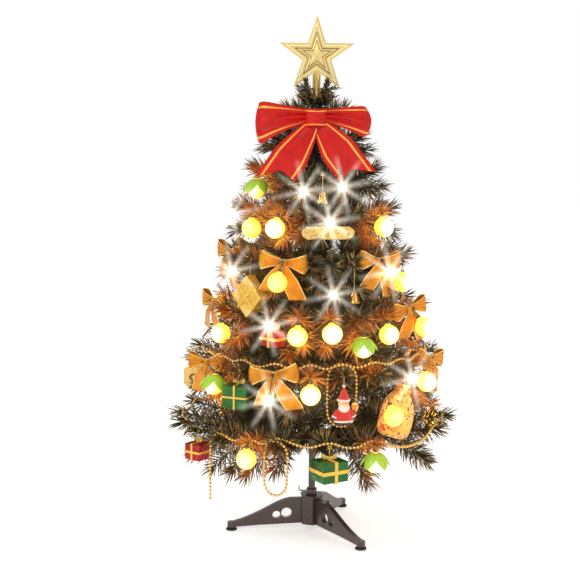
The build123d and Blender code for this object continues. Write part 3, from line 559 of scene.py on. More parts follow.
# Each satin's second colour is its painted shade.
RED_SATIN = Satin(
    "red_satin", "red_satin", (0.66, 0.010, 0.005), (0.34, 0.004, 0.003), (0.95, 0.36, 0.06),
    stripe_at=0.74, stripe_half=0.058,
)
GOLD_SATIN = Satin(
    "gold_satin", "gold_satin", (0.88, 0.36, 0.022), (0.36, 0.105, 0.006), (1.0, 0.66, 0.20),
    stripe_at=1.0, stripe_half=0.12, metallic=0.35,
)
GIFT_RIBBON = Satin(
    "gift_ribbon", "gold_ribbon", (0.95, 0.66, 0.12), (0.66, 0.38, 0.05), (1.0, 0.80, 0.35),
    stripe_at=1.0, stripe_half=0.12, metallic=0.45,
)
LAMP_GREEN = Moulded("lamp_green", "lamp_green", (0.020, 0.060, 0.020), 0.35, 0.3)
LED = Lit("led_lit", "led", (1.0, 0.95, 0.85), (1.0, 0.93, 0.78), 36.0)
GLOBE = Frosted("globe_frosted", "globe", 2.4)
LIME = Moulded("lime_leaf", "lime", (0.36, 0.62, 0.03), 0.45, 0.2)
# Each foil's second colour is its painted fold shade.
CRIMSON = Foil("crimson_foil", "crimson_foil", (0.66, 0.012, 0.022), (0.22, 0.004, 0.008))
GREEN_FOIL = Foil("green_foil", "green_foil", (0.030, 0.22, 0.030), (0.008, 0.055, 0.010))
GOLD_FOIL = Foil("gold_foil", "gold_foil", (0.98, 0.66, 0.10), (0.62, 0.32, 0.03), 0.35)
STRING = Plush("gold_string", "string", (0.85, 0.60, 0.16), 2500.0)
PLAQUE = Scrollwork(
    "scroll_gold", "plaque_gold", (0.93, 0.68, 0.24), (0.66, 0.42, 0.10), 2600.0
)
BELL = Metal("bell_gold", "bell_gold", (0.95, 0.50, 0.10), 0.22)
BEAD = Metal("bead_gold", "bead_gold", (0.95, 0.60, 0.18), 0.2)
SACK_CLOTH = PrintedCloth("sack_print", "sack_cloth")
COAT = Plush("gnome_coat", "gnome_red", (0.75, 0.03, 0.015))
TRIM = Plush("gnome_trim", "gnome_tan", (0.92, 0.86, 0.74), 900.0)
SKIN = Moulded("gnome_face", "gnome_tan", (0.85, 0.50, 0.26), 0.5, 0.05)
BOOT = Moulded("gnome_boot", "gnome_red", (0.04, 0.02, 0.015), 0.4, 0.3)

NODE_FINISHES: dict[Finish, tuple[str, ...]] = {
    STAND: ("stand_hub", "stand_leg_left", "stand_leg_right", "stand_leg_back"),
    PAD: ("foot_pad_left", "foot_pad_right", "foot_pad_back"),
    SCREW: ("clamp_screw",),
    POLE: ("trunk_pole",),
    WIRE: (
        "trunk_core", "binding_rings", "red_bow_tie",
        *(f"branch_wires_{number}" for number in range(1, 8)),
    ),
    GOLD_PLASTIC: ("star_border",),
    STAR_FACE: ("star_center",),
    STAR_STEM: ("star_tube",),
    LAMP_GREEN: ("lamp_clips", "lamp_sockets"),
    LED: ("led_bulbs",),
    CRIMSON: ("red_gift", "red_box"),
    GREEN_FOIL: ("green_gift", "green_cube"),
    GOLD_FOIL: ("gold_box",),
    GIFT_RIBBON: ("red_gift_ribbon", "green_gift_ribbon", "box_ribbons", "sack_tie"),
    STRING: ("heart_string", "ornament_hangers"),
    PLAQUE: ("scroll_plaque",),
    BELL: ("bells",),
}


# ---- reading the frame ------------------------------------------------------------------------
@dataclass(frozen=True)
class Island:
    """One connected solid of a CAD node, as its points."""

    points: np.ndarray

    @property
    def low(self) -> np.ndarray:
        """Lowest corner."""
        return self.points.min(axis=0)

    @property
    def high(self) -> np.ndarray:
        """Highest corner."""
        return self.points.max(axis=0)

    @property
    def centre(self) -> np.ndarray:
        """Middle of its box."""
        return (self.low + self.high) / 2

    def line(self) -> np.ndarray:
        """Unit vector along its longest direction, away from the trunk."""
        spread = self.points - self.points.mean(axis=0)
        along = np.linalg.svd(spread, full_matrices=False)[2][0]
        centre = self.centre
        return along if along[0] * centre[0] + along[1] * centre[1] >= 0 else -along


def islands(node: str) -> list[Island]:
    """The connected solids of a CAD node.

    Args:
        node: the node's name.

    Returns:
        One island for each solid, in the order of their first points.
    """
    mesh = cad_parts[node].data
    points = np.empty(3 * len(mesh.vertices))
    mesh.vertices.foreach_get("co", points)
    points = points.reshape(-1, 3)
    edges = np.empty(2 * len(mesh.edges), dtype=np.int64)
    mesh.edges.foreach_get("vertices", edges)
    _, same = np.unique(np.round(points * 1e5).astype(np.int64), axis=0, return_inverse=True)
    same = same.ravel()
    first, second = same[edges[0::2]], same[edges[1::2]]
    labels = np.arange(same.max() + 1)
    while True:
        least = np.minimum(labels[first], labels[second])
        after = labels.copy()
        np.minimum.at(after, first, least)
        np.minimum.at(after, second, least)
        after = after[after]
        if np.array_equal(after, labels):
            break
        labels = after
    owner = labels[same]
    return [Island(points[owner == label]) for label in dict.fromkeys(owner.tolist())]


def unit(vector: np.ndarray) -> np.ndarray:
    """The same direction, one long."""
    return vector / np.linalg.norm(vector)


def outward(point: np.ndarray) -> np.ndarray:
    """The horizontal direction from the trunk to a point."""
    return unit(np.array((point[0], point[1], 0.0)))


@dataclass(frozen=True)
class Seat:
    """A place with its own directions: x to its right, y up, z towards whoever faces it."""

    origin: np.ndarray
    side: np.ndarray
    up: np.ndarray
    out: np.ndarray

    @classmethod
    def facing(cls, origin: np.ndarray, out: np.ndarray, tilt: float = 0.0) -> "Seat":
        """A seat that looks along a level direction.

        Args:
            origin: where it is.
            out: the way it faces.
            tilt: degrees that it is turned in its own plane.

        Returns:
            The seat.
        """
        side = np.array((-out[1], out[0], 0.0))
        turn = math.radians(tilt)
        right = side * math.cos(turn) + UP * math.sin(turn)
        lift = UP * math.cos(turn) - side * math.sin(turn)
        return cls(np.asarray(origin, float), right, lift, np.asarray(out, float))

    def world(self, local: np.ndarray) -> np.ndarray:
        """Points of this seat, given in millimetres, in the row frame."""
        x, y, z = np.split(np.asarray(local, float) * MM, 3, axis=-1)
        return self.origin + x * self.side + y * self.up + z * self.out

    def moved(self, x: float, y: float, z: float) -> "Seat":
        """The same directions at another place, given in millimetres."""
        return Seat(self.world(np.array((x, y, z))), self.side, self.up, self.out)

    def local(self, points: np.ndarray) -> np.ndarray:
        """Points of the row frame in this seat's directions, in metres."""
        away = points - self.origin
        return np.stack((away @ self.side, away @ self.up, away @ self.out), axis=-1)


# ---- meshes -----------------------------------------------------------------------------------
def chart(rows: int, columns: int) -> tuple[np.ndarray, np.ndarray]:
    """Two grids of numbers: from 0 to 1 down the rows, and from -1 to 1 along the columns."""
    return np.meshgrid(np.linspace(0.0, 1.0, rows), np.linspace(-1.0, 1.0, columns), indexing="ij")


def quads(rows: int, columns: int, wrap: bool = False) -> list[tuple[int, ...]]:
    """The faces of a grid of points; with wrap, the last column meets the first."""
    faces = []
    for row in range(rows - 1):
        for column in range(columns if wrap else columns - 1):
            here, beside = row * columns + column, row * columns + (column + 1) % columns
            faces.append((here, beside, beside + columns, here + columns))
    return faces


class Draft:
    """A mesh in the making: surfaces are added to it, then it becomes one piece."""

    def __init__(self) -> None:
        """Starts empty."""
        self.points: list[np.ndarray] = []
        self.faces: list[tuple[int, ...]] = []
        self.values: dict[str, list[np.ndarray]] = {}
        self.count = 0

    def add(self, points: np.ndarray, faces: Iterable[Sequence[int]], **values: np.ndarray) -> None:
        """Adds points, faces that count from the first of them, and numbers stored on them."""
        start = self.count
        self.points.append(np.asarray(points, float))
        self.faces.extend(tuple(start + corner for corner in face) for face in faces)
        for name, numbers in values.items():
            spread = np.broadcast_to(numbers, len(points)).astype(float)
            self.values.setdefault(name, []).append(spread)
        self.count += len(points)

    def add_grid(self, grid: np.ndarray, wrap: bool = False, **values: np.ndarray) -> None:
        """Adds a surface of rows and columns; with wrap, the last column meets the first."""
        shape = grid.shape[:2]
        flat = {name: np.broadcast_to(numbers, shape).ravel() for name, numbers in values.items()}
        self.add(grid.reshape(-1, 3), quads(*shape, wrap), **flat)

    def add_closed(self, grid: np.ndarray, poles: np.ndarray) -> None:
        """Adds rows that close on themselves, with a pole beyond each end of them."""
        rows, columns = grid.shape[:2]
        faces = quads(rows, columns, wrap=True)
        first, last = rows * columns, (rows - 1) * columns
        for column in range(columns):
            beside = (column + 1) % columns
            faces += [(first, beside, column), (first + 1, last + column, last + beside)]
        self.add(np.concatenate([grid.reshape(-1, 3), poles]), faces)

    def add_turned(
        self, seat: Seat, profile: Sequence[tuple[float, float]], around: int = 16,
        flat: float = 1.0, ripple: Optional[Callable[[np.ndarray, np.ndarray], np.ndarray]] = None,
    ) -> None:
        """Adds a closed turned form.

        Args:
            seat: its place; the profile's heights run along the seat's up.
            profile: (radius, height) pairs in millimetres, from one pole to the other.
            around: how many sides it has.
            flat: depth as a share of width.
            ripple: a factor on the radius, from the height's share and the angle.
        """
        angles = np.linspace(0, 2 * math.pi, around, endpoint=False)
        rows = []
        for place, (radius, height) in enumerate(profile[1:-1]):
            share = np.full(around, (place + 1) / (len(profile) - 1))
            reach = radius * (ripple(share, angles) if ripple else np.ones(around))
            level = np.full(around, height)
            ring = (reach * np.cos(angles), level, reach * np.sin(angles) * flat)
            rows.append(np.stack(ring, axis=-1))
        poles = np.array([(0.0, profile[0][1], 0.0), (0.0, profile[-1][1], 0.0)])
        self.add_closed(seat.world(np.stack(rows)), seat.world(poles))

    def piece(
        self, name: str, finish: Finish, body: str, replaced: Sequence[str] = (),
        thickness: float = 0.0, rounds: int = 0,
    ) -> bpy.types.Object:
        """Makes the piece.

        Args:
            name: its name.
            finish: its finish.
            body: the CAD body that it rides on.
            replaced: the CAD nodes that it stands for.
            thickness: a sheet's thickness in metres, or 0.
            rounds: levels of subdivision.

        Returns:
            The object.
        """
        mesh = bpy.data.meshes.new(name)
        mesh.from_pydata(np.concatenate(self.points).tolist(), [], self.faces)
        mesh.shade_smooth()
        for value, numbers in self.values.items():
            stored = mesh.attributes.new(value, "FLOAT", "POINT")
            stored.data.foreach_set("value", np.concatenate(numbers).astype(np.float32))
        mesh.materials.append(finish.material())
        made = bpy.data.objects.new(name, mesh)
        bpy.context.scene.collection.objects.link(made)
        if rounds:
            smooth = made.modifiers.new("smooth", "SUBSURF")
            smooth.levels = smooth.render_levels = rounds
        if thickness:
            solid = made.modifiers.new("thickness", "SOLIDIFY")
            solid.thickness, solid.offset = thickness, 0.0
        settle(made, body, replaced)
        return made


def settle(made: bpy.types.Object, body: str, replaced: Sequence[str] = ()) -> None:
    """Rides a piece on its body and hides the nodes that it stands for."""
    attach(made, body)
    if replaced:
        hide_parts(*replaced)
    LOG.info("%s rides on %s", made.name, body)


# ---- needles ----------------------------------------------------------------------------------
Rod = tuple[np.ndarray, np.ndarray]
# A needle's seven points: three at its foot, three half way, and its tip.
NEEDLE_FACES = (
    (0, 1, 4, 3), (1, 2, 5, 4), (2, 0, 3, 5), (3, 4, 6), (4, 5, 6), (5, 3, 6), (2, 1, 0),
)


@dataclass(frozen=True)
class Clearing:
    """Room kept free of needles in and in front of an ornament."""

    seat: Seat
    low: np.ndarray
    high: np.ndarray
    fullness: float = 1.15

    @classmethod
    def round(
        cls, island: Island, margin: float, reach: float, out: Optional[np.ndarray] = None,
    ) -> "Clearing":
        """A clearing that fits a solid.

        Args:
            island: the solid.
            margin: the room all round it.
            reach: the room in front of it.
            out: the way that its front faces, or None for outwards.

        Returns:
            The clearing.
        """
        seat = Seat.facing(island.centre, outward(island.centre) if out is None else out)
        local = seat.local(island.points)
        front = np.array((margin, margin, reach))
        return cls(seat, local.min(axis=0) - margin, local.max(axis=0) + front)

    def holds(self, points: np.ndarray) -> np.ndarray:
        """True for each point in the clearing, whose section is an ellipse."""
        local = self.seat.local(points)
        middle, half = (self.low + self.high)[:2] / 2, (self.high - self.low)[:2] / 2
        away = (local[:, :2] - middle) / half
        within = (local[:, 2] > self.low[2]) & (local[:, 2] < self.high[2])
        return within & ((away ** 2).sum(axis=1) < self.fullness)


@dataclass(frozen=True)
class NeedleTiers:
    """The foliage: flat needles that stand out round every wire and round the trunk."""

    length: float = 23 * MM
    width: float = 1.45 * MM
    thickness: float = 0.45 * MM
    per_metre: float = 3000.0
    bare: float = 0.20
    lean: float = 66.0
    tip_lean: float = 24.0
    tip_run: float = 24 * MM
    garland_per_metre: float = 3600.0
    golden_turn: float = 2.39996
    turn_scatter: float = 0.35
    lean_scatter: float = 0.13
    square_lean: float = 88.0
    square_length: float = 0.82
    length_spread: tuple[float, float] = (0.78, 1.10)
    width_spread: tuple[float, float] = (0.8, 1.15)
    foot_length: float = 0.45
    foot_run: float = 18 * MM
    middle_at: float = 0.55
    most_sag: float = 0.08
    least_length: float = 0.32
    most_twist: float = 1.3
    # The painted lamp glow on the needles: how far it reaches from a lamp and how strong it is.
    lamp_glow_reach: float = 35 * MM
    lamp_glow_from: float = 1.30
    lamp_glow_power: float = 1.6
    lamp_glow_spread: tuple[float, float] = (0.45, 1.1)
    twig_share: float = 0.48
    twig_longest: float = 62 * MM
    ceiling: float = 0.519
    crown_twigs: int = 18
    crown_height: float = 0.491
    crown_reach: float = 15 * MM
    crown_rise: tuple[float, float] = (1.0, 0.0)
    twig_at: tuple[float, ...] = (0.30, 0.52, 0.14)
    twig_rise: tuple[float, ...] = (40.0, -38.0, 4.0)
    rise_scatter: float = 5.0
    swing_scatter: float = 14.0

    def rods(self, node: str) -> list[Rod]:
        """The inner and outer end of each wire of a node."""
        ends = []
        for island in islands(node):
            along = island.line()
            reach = (island.points - island.centre) @ along
            ends.append((island.centre + along * reach.min(), island.centre + along * reach.max()))
        return ends

    def spray(
        self, draft: Draft, root: np.ndarray, tip: np.ndarray, rng: np.random.Generator,
        clearings: Sequence[Clearing], lamps: np.ndarray, per_metre: float, level: bool = False,
    ) -> None:
        """Adds the needles of one wire.

        Args:
            draft: the tier's mesh.
            root: the wire's inner end.
            tip: its outer end.
            rng: the tier's random numbers.
            clearings: where no needle may stand.
            lamps: the lamps' places, near which the needles get a painted lamp glow.
            per_metre: needles for each metre of wire.
            level: True round the trunk, where needles stand out square to it.
        """
        along = unit(tip - root)
        wire = float(np.linalg.norm(tip - root))
        start = 0.0 if level else self.bare * wire
        count = max(8, int(per_metre * (wire - start)))
        place = start + (wire - start) * (np.arange(count) + rng.random(count)) / count
        side = unit(np.cross(along, UP if abs(along[2]) < 0.9 else np.array((1.0, 0.0, 0.0))))
        over = np.cross(side, along)
        angle = np.arange(count) * self.golden_turn + rng.normal(0, self.turn_scatter, count)
        radial = np.outer(np.cos(angle), side) + np.outer(np.sin(angle), over)
        near_tip = np.clip(1 - (wire - place) / self.tip_run, 0, 1) * (0.0 if level else 1.0)
        mean = self.square_lean if level else self.lean
        lean = np.radians(mean + (self.tip_lean - self.lean) * near_tip ** 1.3)
        lean += rng.normal(0, self.lean_scatter, count)
        aim = np.cos(lean)[:, None] * along + np.sin(lean)[:, None] * radial
        aim /= np.linalg.norm(aim, axis=1)[:, None]
        base = root + place[:, None] * along + radial * 0.7 * MM
        reach = self.length * rng.uniform(*self.length_spread, count)
        reach = reach * (0.80 + 0.2 * (1 - near_tip))
        grown = np.clip((place - start) / self.foot_run, self.foot_length, 1.0)
        reach *= self.square_length if level else grown
        end = base + aim * reach[:, None]
        middle = base + aim * (self.middle_at * reach)[:, None]
        bend = (aim * -0.10 + along * 0.12) * reach[:, None] * rng.uniform(0, 1, count)[:, None]
        end = end + bend - UP * (reach * rng.uniform(0.0, self.most_sag, count))[:, None]
        climb = np.maximum(end[:, 2] - base[:, 2], 0.1 * MM)
        short = np.clip((self.ceiling - base[:, 2]) / climb, self.least_length, 1.0)
        share = np.where(end[:, 2] > self.ceiling, short, 1.0)[:, None]
        middle, end = base + (middle - base) * share, base + (end - base) * share
        keep = np.ones(count, bool)
        for clearing in clearings:
            for probe in (base * 0.4 + middle * 0.6, middle, (middle + end) / 2, end):
                keep &= ~clearing.holds(probe)
        base, middle, end, aim, radial = (part[keep] for part in (base, middle, end, aim, radial))
        number = len(base)
        if not number:
            return
        twist = rng.uniform(-self.most_twist, self.most_twist, number)[:, None]
        flat = np.cross(aim, radial)
        flat /= np.linalg.norm(flat, axis=1)[:, None] + 1e-9
        face = np.cross(flat, aim)
        broad = flat * np.cos(twist) + face * np.sin(twist)
        ridge = np.cross(broad, aim)
        half = broad * (self.width / 2 * rng.uniform(*self.width_spread, number))[:, None]
        rise = ridge * self.thickness
        points = np.stack((
            base + half * 0.7, base - half * 0.7, base + rise * 0.8,
            middle + half, middle - half, middle + rise, end,
        ), axis=1)
        # Painted lamp light: a needle's glow grows as it nears a lamp.
        warm = points.reshape(-1, 1, 3) - lamps[None, :, :]
        nearest = np.sqrt((warm ** 2).sum(axis=2)).min(axis=1)
        faces = [
            tuple(first + corner for corner in face)
            for first in range(0, 7 * number, 7) for face in NEEDLE_FACES
        ]
        tint = np.repeat(rng.random(number), 7)
        glow = np.clip(self.lamp_glow_from - nearest / self.lamp_glow_reach, 0, 1) ** self.lamp_glow_power
        glow *= np.repeat(rng.uniform(*self.lamp_glow_spread, number), 7)
        along_needle = np.tile((0.0,) * 3 + (self.middle_at,) * 3 + (1.0,), number)
        draft.add(points.reshape(-1, 3), faces, tint=tint, along=along_needle, glow=glow)

    def twigs(self, root: np.ndarray, tip: np.ndarray, rng: np.random.Generator) -> list[Rod]:
        """The side twigs of a wire, which fill the room between two tiers."""
        along, wire = unit(tip - root), float(np.linalg.norm(tip - root))
        across = unit(np.cross(along, UP))
        ends = []
        for at, rise in zip(self.twig_at, self.twig_rise):
            start = root + along * wire * at
            lift = math.radians(rise + rng.normal(0, self.rise_scatter))
            swing = math.radians(rng.normal(0, self.swing_scatter))
            aim = along * math.cos(lift) * math.cos(swing) + across * math.sin(swing)
            aim = aim + np.cross(across, along) * math.sin(lift)
            reach = min(self.twig_longest, wire * self.twig_share)
            ends.append((start, start + unit(aim) * reach))
        return ends

    def build(self, clearings: Sequence[Clearing], lamps: np.ndarray) -> None:
        """Builds the needles of the seven tier nodes and of the trunk."""
        for number in range(1, 8):
            draft, rng = Draft(), np.random.default_rng(40 + number)
            for root, tip in self.rods(f"branch_wires_{number}"):
                self.spray(draft, root, tip, rng, clearings, lamps, self.per_metre)
                for start, end in self.twigs(root, tip, rng):
                    self.spray(draft, start, end, rng, clearings, lamps, self.per_metre)
            draft.piece(f"needles_{number}", NEEDLES, "tree", (f"foliage_{number}",))
        draft, rng = Draft(), np.random.default_rng(60)
        low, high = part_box("trunk_garland")
        foot, top = np.array((0, 0, low[2] - 14 * MM)), np.array((0, 0, high[2] + 4 * MM))
        thick = self.garland_per_metre
        self.spray(draft, foot, top, rng, clearings, lamps, thick, level=True)
        for number in range(self.crown_twigs):
            turn = 2 * math.pi * number / self.crown_twigs
            aim = np.array((math.cos(turn), math.sin(turn), self.crown_rise[number % 2]))
            root = np.array((0.0, 0.0, self.crown_height)) + aim * (6 * MM)
            tip = root + unit(aim) * self.crown_reach
            self.spray(draft, root, tip, rng, clearings, lamps, thick)
        draft.piece("needles_trunk", NEEDLES, "tree", ("trunk_garland",))


# ---- ribbons ----------------------------------------------------------------------------------
@dataclass(frozen=True)
class Loop:
    """One loop of a bow: its reach, half widths at the knot and outside, depth and droop."""

    reach: float
    pinch: float
    half: float
    depth: float
    droop: float
    pleats: float = 2.5
    pleat_depth: float = 0.9
    start: float = 0.0
    height: float = 0.0
    rounding: float = 0.07

    def add(self, draft: Draft, seat: Seat, sign: int, rows: int = 26, columns: int = 13) -> None:
        """Adds the loop to a draft, to the right for sign 1 and to the left for sign -1."""
        turn, across = chart(rows, columns)
        swell = np.sin(math.pi * turn)
        rounded = 1 - self.rounding * across ** 2 * swell
        reach = self.start + (self.reach - self.start) * swell ** 0.85 * rounded
        half = self.pinch + (self.half - self.pinch) * np.clip(swell * 1.12, 0, 1) ** 1.15
        fold = self.pleat_depth * np.cos(across * math.pi * self.pleats) * (1 - swell * 0.82)
        cupped = 0.06 * self.half * (across ** 2) * swell
        depth = self.depth * np.sin(2 * math.pi * turn) + fold + cupped
        height = across * half + self.height + self.droop * swell ** 1.6
        grid = np.stack((sign * reach, height, depth), axis=-1)
        draft.add_grid(seat.world(grid), across=across)


@dataclass(frozen=True)
class Tail:
    """One tail of a bow: where it starts and ends, its half widths, its wave and its cut."""

    start: tuple[float, float]
    end: tuple[float, float]
    pinch: float
    half: float
    wave: float
    notch: float = 0.0
    slant: float = 0.0
    lift: float = 1.0

    def add(self, draft: Draft, seat: Seat, rows: int = 18, columns: int = 11) -> None:
        """Adds the tail to a draft. Notch is a swallowtail's depth and slant an oblique cut's."""
        share, across = chart(rows, columns)
        start, end = np.array(self.start), np.array(self.end)
        run = float(np.linalg.norm(end - start))
        line = (end - start) / run
        square = np.array((-line[1], line[0]))
        cut = 1 - (self.notch * (1 - np.abs(across)) + self.slant * (across + 1) / 2) / run
        along = share * cut
        half = self.pinch + (self.half - self.pinch) * np.clip(along * 1.9, 0, 1) ** 0.8
        x = start[0] + line[0] * run * along + square[0] * across * half
        y = start[1] + line[1] * run * along + square[1] * across * half
        pleat = 0.8 * np.cos(across * math.pi * 2) * np.clip(1 - along * 2.2, 0, 1)
        twist = 0.10 * self.half * across * np.sin(along * 4.2)
        z = self.lift + self.wave * np.sin(along * math.pi * 1.35) + pleat + twist
        draft.add_grid(seat.world(np.stack((x, y, z), axis=-1)), across=across)


def add_knot(draft: Draft, seat: Seat, width: float, height: float, depth: float) -> None:
    """Adds a bow's knot: a short band drawn tight round it, with creases that run across."""
    turn = np.linspace(0, 2 * math.pi, 28, endpoint=False)
    around, along = np.meshgrid(turn, np.linspace(-1, 1, 9), indexing="ij")
    crease = 1 + 0.07 * np.cos(along * math.pi * 3.0)
    x = width / 2 * np.cos(around) * (0.86 + 0.14 * np.abs(np.cos(around))) * crease
    z = depth / 2 * np.sin(around) * crease
    y = along * height / 2 * (1 + 0.05 * np.cos(2 * around))
    grid = np.stack((x, y, z), axis=-1)
    closed = np.transpose(grid, (1, 0, 2))
    draft.add_grid(seat.world(closed), wrap=True, across=np.transpose(along))


def tie_on(
    draft: Draft, node: str, finish: Finish,
    thickness: float, rounds: int = 1,
) -> None:
    """Makes the satin that stands for a node of a bow.

    Args:
        draft: its mesh.
        node: the CAD node.
        finish: its satin.
        thickness: the cloth's thickness in metres.
        rounds: levels of subdivision.
    """
    made = draft.piece(f"{node}_satin", finish, "tree", (node,), thickness, rounds)


@dataclass(frozen=True)
class RedBow:
    """The big red bow, with gold stripes: two loops, a wide knot and two swallow tails."""

    left: Loop = Loop(67, 7, 22.5, 9, -8, 3.5, 2.6, 4, 1.5)
    right: Loop = Loop(61, 7, 16.5, 9, -6, 3.5, 2.6, 4, 2, 0.12)
    tails: tuple[Tail, Tail] = (
        Tail((-3, -7), (-50, -76), 7, 20, 5, notch=11, slant=20, lift=1.5),
        Tail((3, -7), (42.4, -58.7), 7, 20, 5, notch=11, slant=-16, lift=1.5),
    )
    knot: Spot = (24, 20, 14)
    cloth: float = 0.5 * MM

    def seat(self) -> Seat:
        """Centre of the knot, facing the front."""
        low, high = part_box("red_bow_knot")
        return Seat.facing((np.array(low) + np.array(high)) / 2, FRONT)

    def build(self) -> None:
        """Builds loops, knot and tails."""
        seat = self.seat()
        loops, tails, knot = Draft(), Draft(), Draft()
        self.left.add(loops, seat, -1, 34, 17)
        self.right.add(loops, seat, 1, 34, 17)
        for tail in self.tails:
            tail.add(tails, seat, 26, 17)
        add_knot(knot, seat, *self.knot)
        satin, under = RED_SATIN, "red_bow_knot_satin"
        tie_on(loops, "red_bow_loops", satin, self.cloth)
        tie_on(tails, "red_bow_tails", satin, self.cloth)
        tie_on(knot, "red_bow_knot", satin, self.cloth)


@dataclass(frozen=True)
class GoldBows:
    """The gold satin bows at the branch tips, each with two pleated loops, a knot and two tails."""

    loop: Loop = Loop(28, 3.0, 10.5, 4.2, 0.5, 3.5, 1.5, 1.5, 1.2, 0.10)
    tails: tuple[Tail, Tail] = (
        Tail((-1, -2), (-18, -36), 2.6, 9.2, 2.5, slant=7, lift=1.5),
        Tail((1, -2), (18, -36), 2.6, 9.2, 2.5, slant=-7, lift=1.5),
    )
    knot: Spot = (8.2, 8.0, 7.4)
    cloth: float = 0.35 * MM
    scatter: float = 9.0
    forward: float = 0.55
    front_half: float = 0.02

    def seats(self) -> list[Seat]:
        """Each bow's seat: it faces outwards, partly turned to the front on the front half."""
        rng = np.random.default_rng(7)
        seats = []
        for knot in islands("gold_bow_knots"):
            out = outward(knot.centre)
            if knot.centre[1] < self.front_half:
                out = unit(out + self.forward * FRONT)
            seats.append(Seat.facing(knot.centre, out, rng.uniform(-1, 1) * self.scatter))
        return seats

    def build(self) -> None:
        """Builds every bow, each turned a little its own way."""
        loops, tails, knots = Draft(), Draft(), Draft()
        places = self.seats()
        for seat in places:
            for sign in (-1, 1):
                self.loop.add(loops, seat, sign, 22, 11)
            for tail in self.tails:
                tail.add(tails, seat, 14, 9)
            add_knot(knots, seat, *self.knot)
        satin, under, number = GOLD_SATIN, "gold_bow_knots_satin", len(places)
        tie_on(loops, "gold_bow_loops", satin, self.cloth)
        tie_on(tails, "gold_bow_tails", satin, self.cloth)
        tie_on(knots, "gold_bow_knots", satin, self.cloth, 0)


class GiftBow(Enum):
    """The boxes that carry a small ribbon bow: the CAD node of the box and the body it is on."""

    RED = ("red_gift", "red_gift_body")
    GREEN = ("green_gift", "green_gift_body")
    CUBE = ("green_cube", "tree")
    LOW = ("red_box", "tree")


@dataclass(frozen=True)
class GiftBows:
    """Small ribbon bows tied on top of the wrapped boxes."""

    loop: Loop = Loop(8.5, 1.2, 2.6, 1.3, 2.4, 1.5, 0.3, 0.6, 0.6)
    knot: Spot = (3.0, 3.4, 3.0)
    cloth: float = 0.3 * MM
    above: float = 2.0 * MM

    def build(self) -> None:
        """Builds one bow for each box."""
        for gift in GiftBow:
            node, body = gift.value
            low, high = (np.array(corner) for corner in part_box(node))
            top = np.array(((low[0] + high[0]) / 2, (low[1] + high[1]) / 2, high[2] + self.above))
            draft = Draft()
            seat = Seat.facing(top, outward(top))
            for sign in (-1, 1):
                self.loop.add(draft, seat, sign, 16, 7)
            add_knot(draft, seat, *self.knot)
            made = draft.piece(f"{node}_bow", GIFT_RIBBON, body, (), self.cloth, 1)


# ---- lamps ------------------------------------------------------------------------------------
def nearest_to(place: np.ndarray, solids: Sequence[Island]) -> int:
    """The number of the solid whose middle is nearest to a place."""
    return int(np.argmin([np.linalg.norm(solid.centre - place) for solid in solids]))


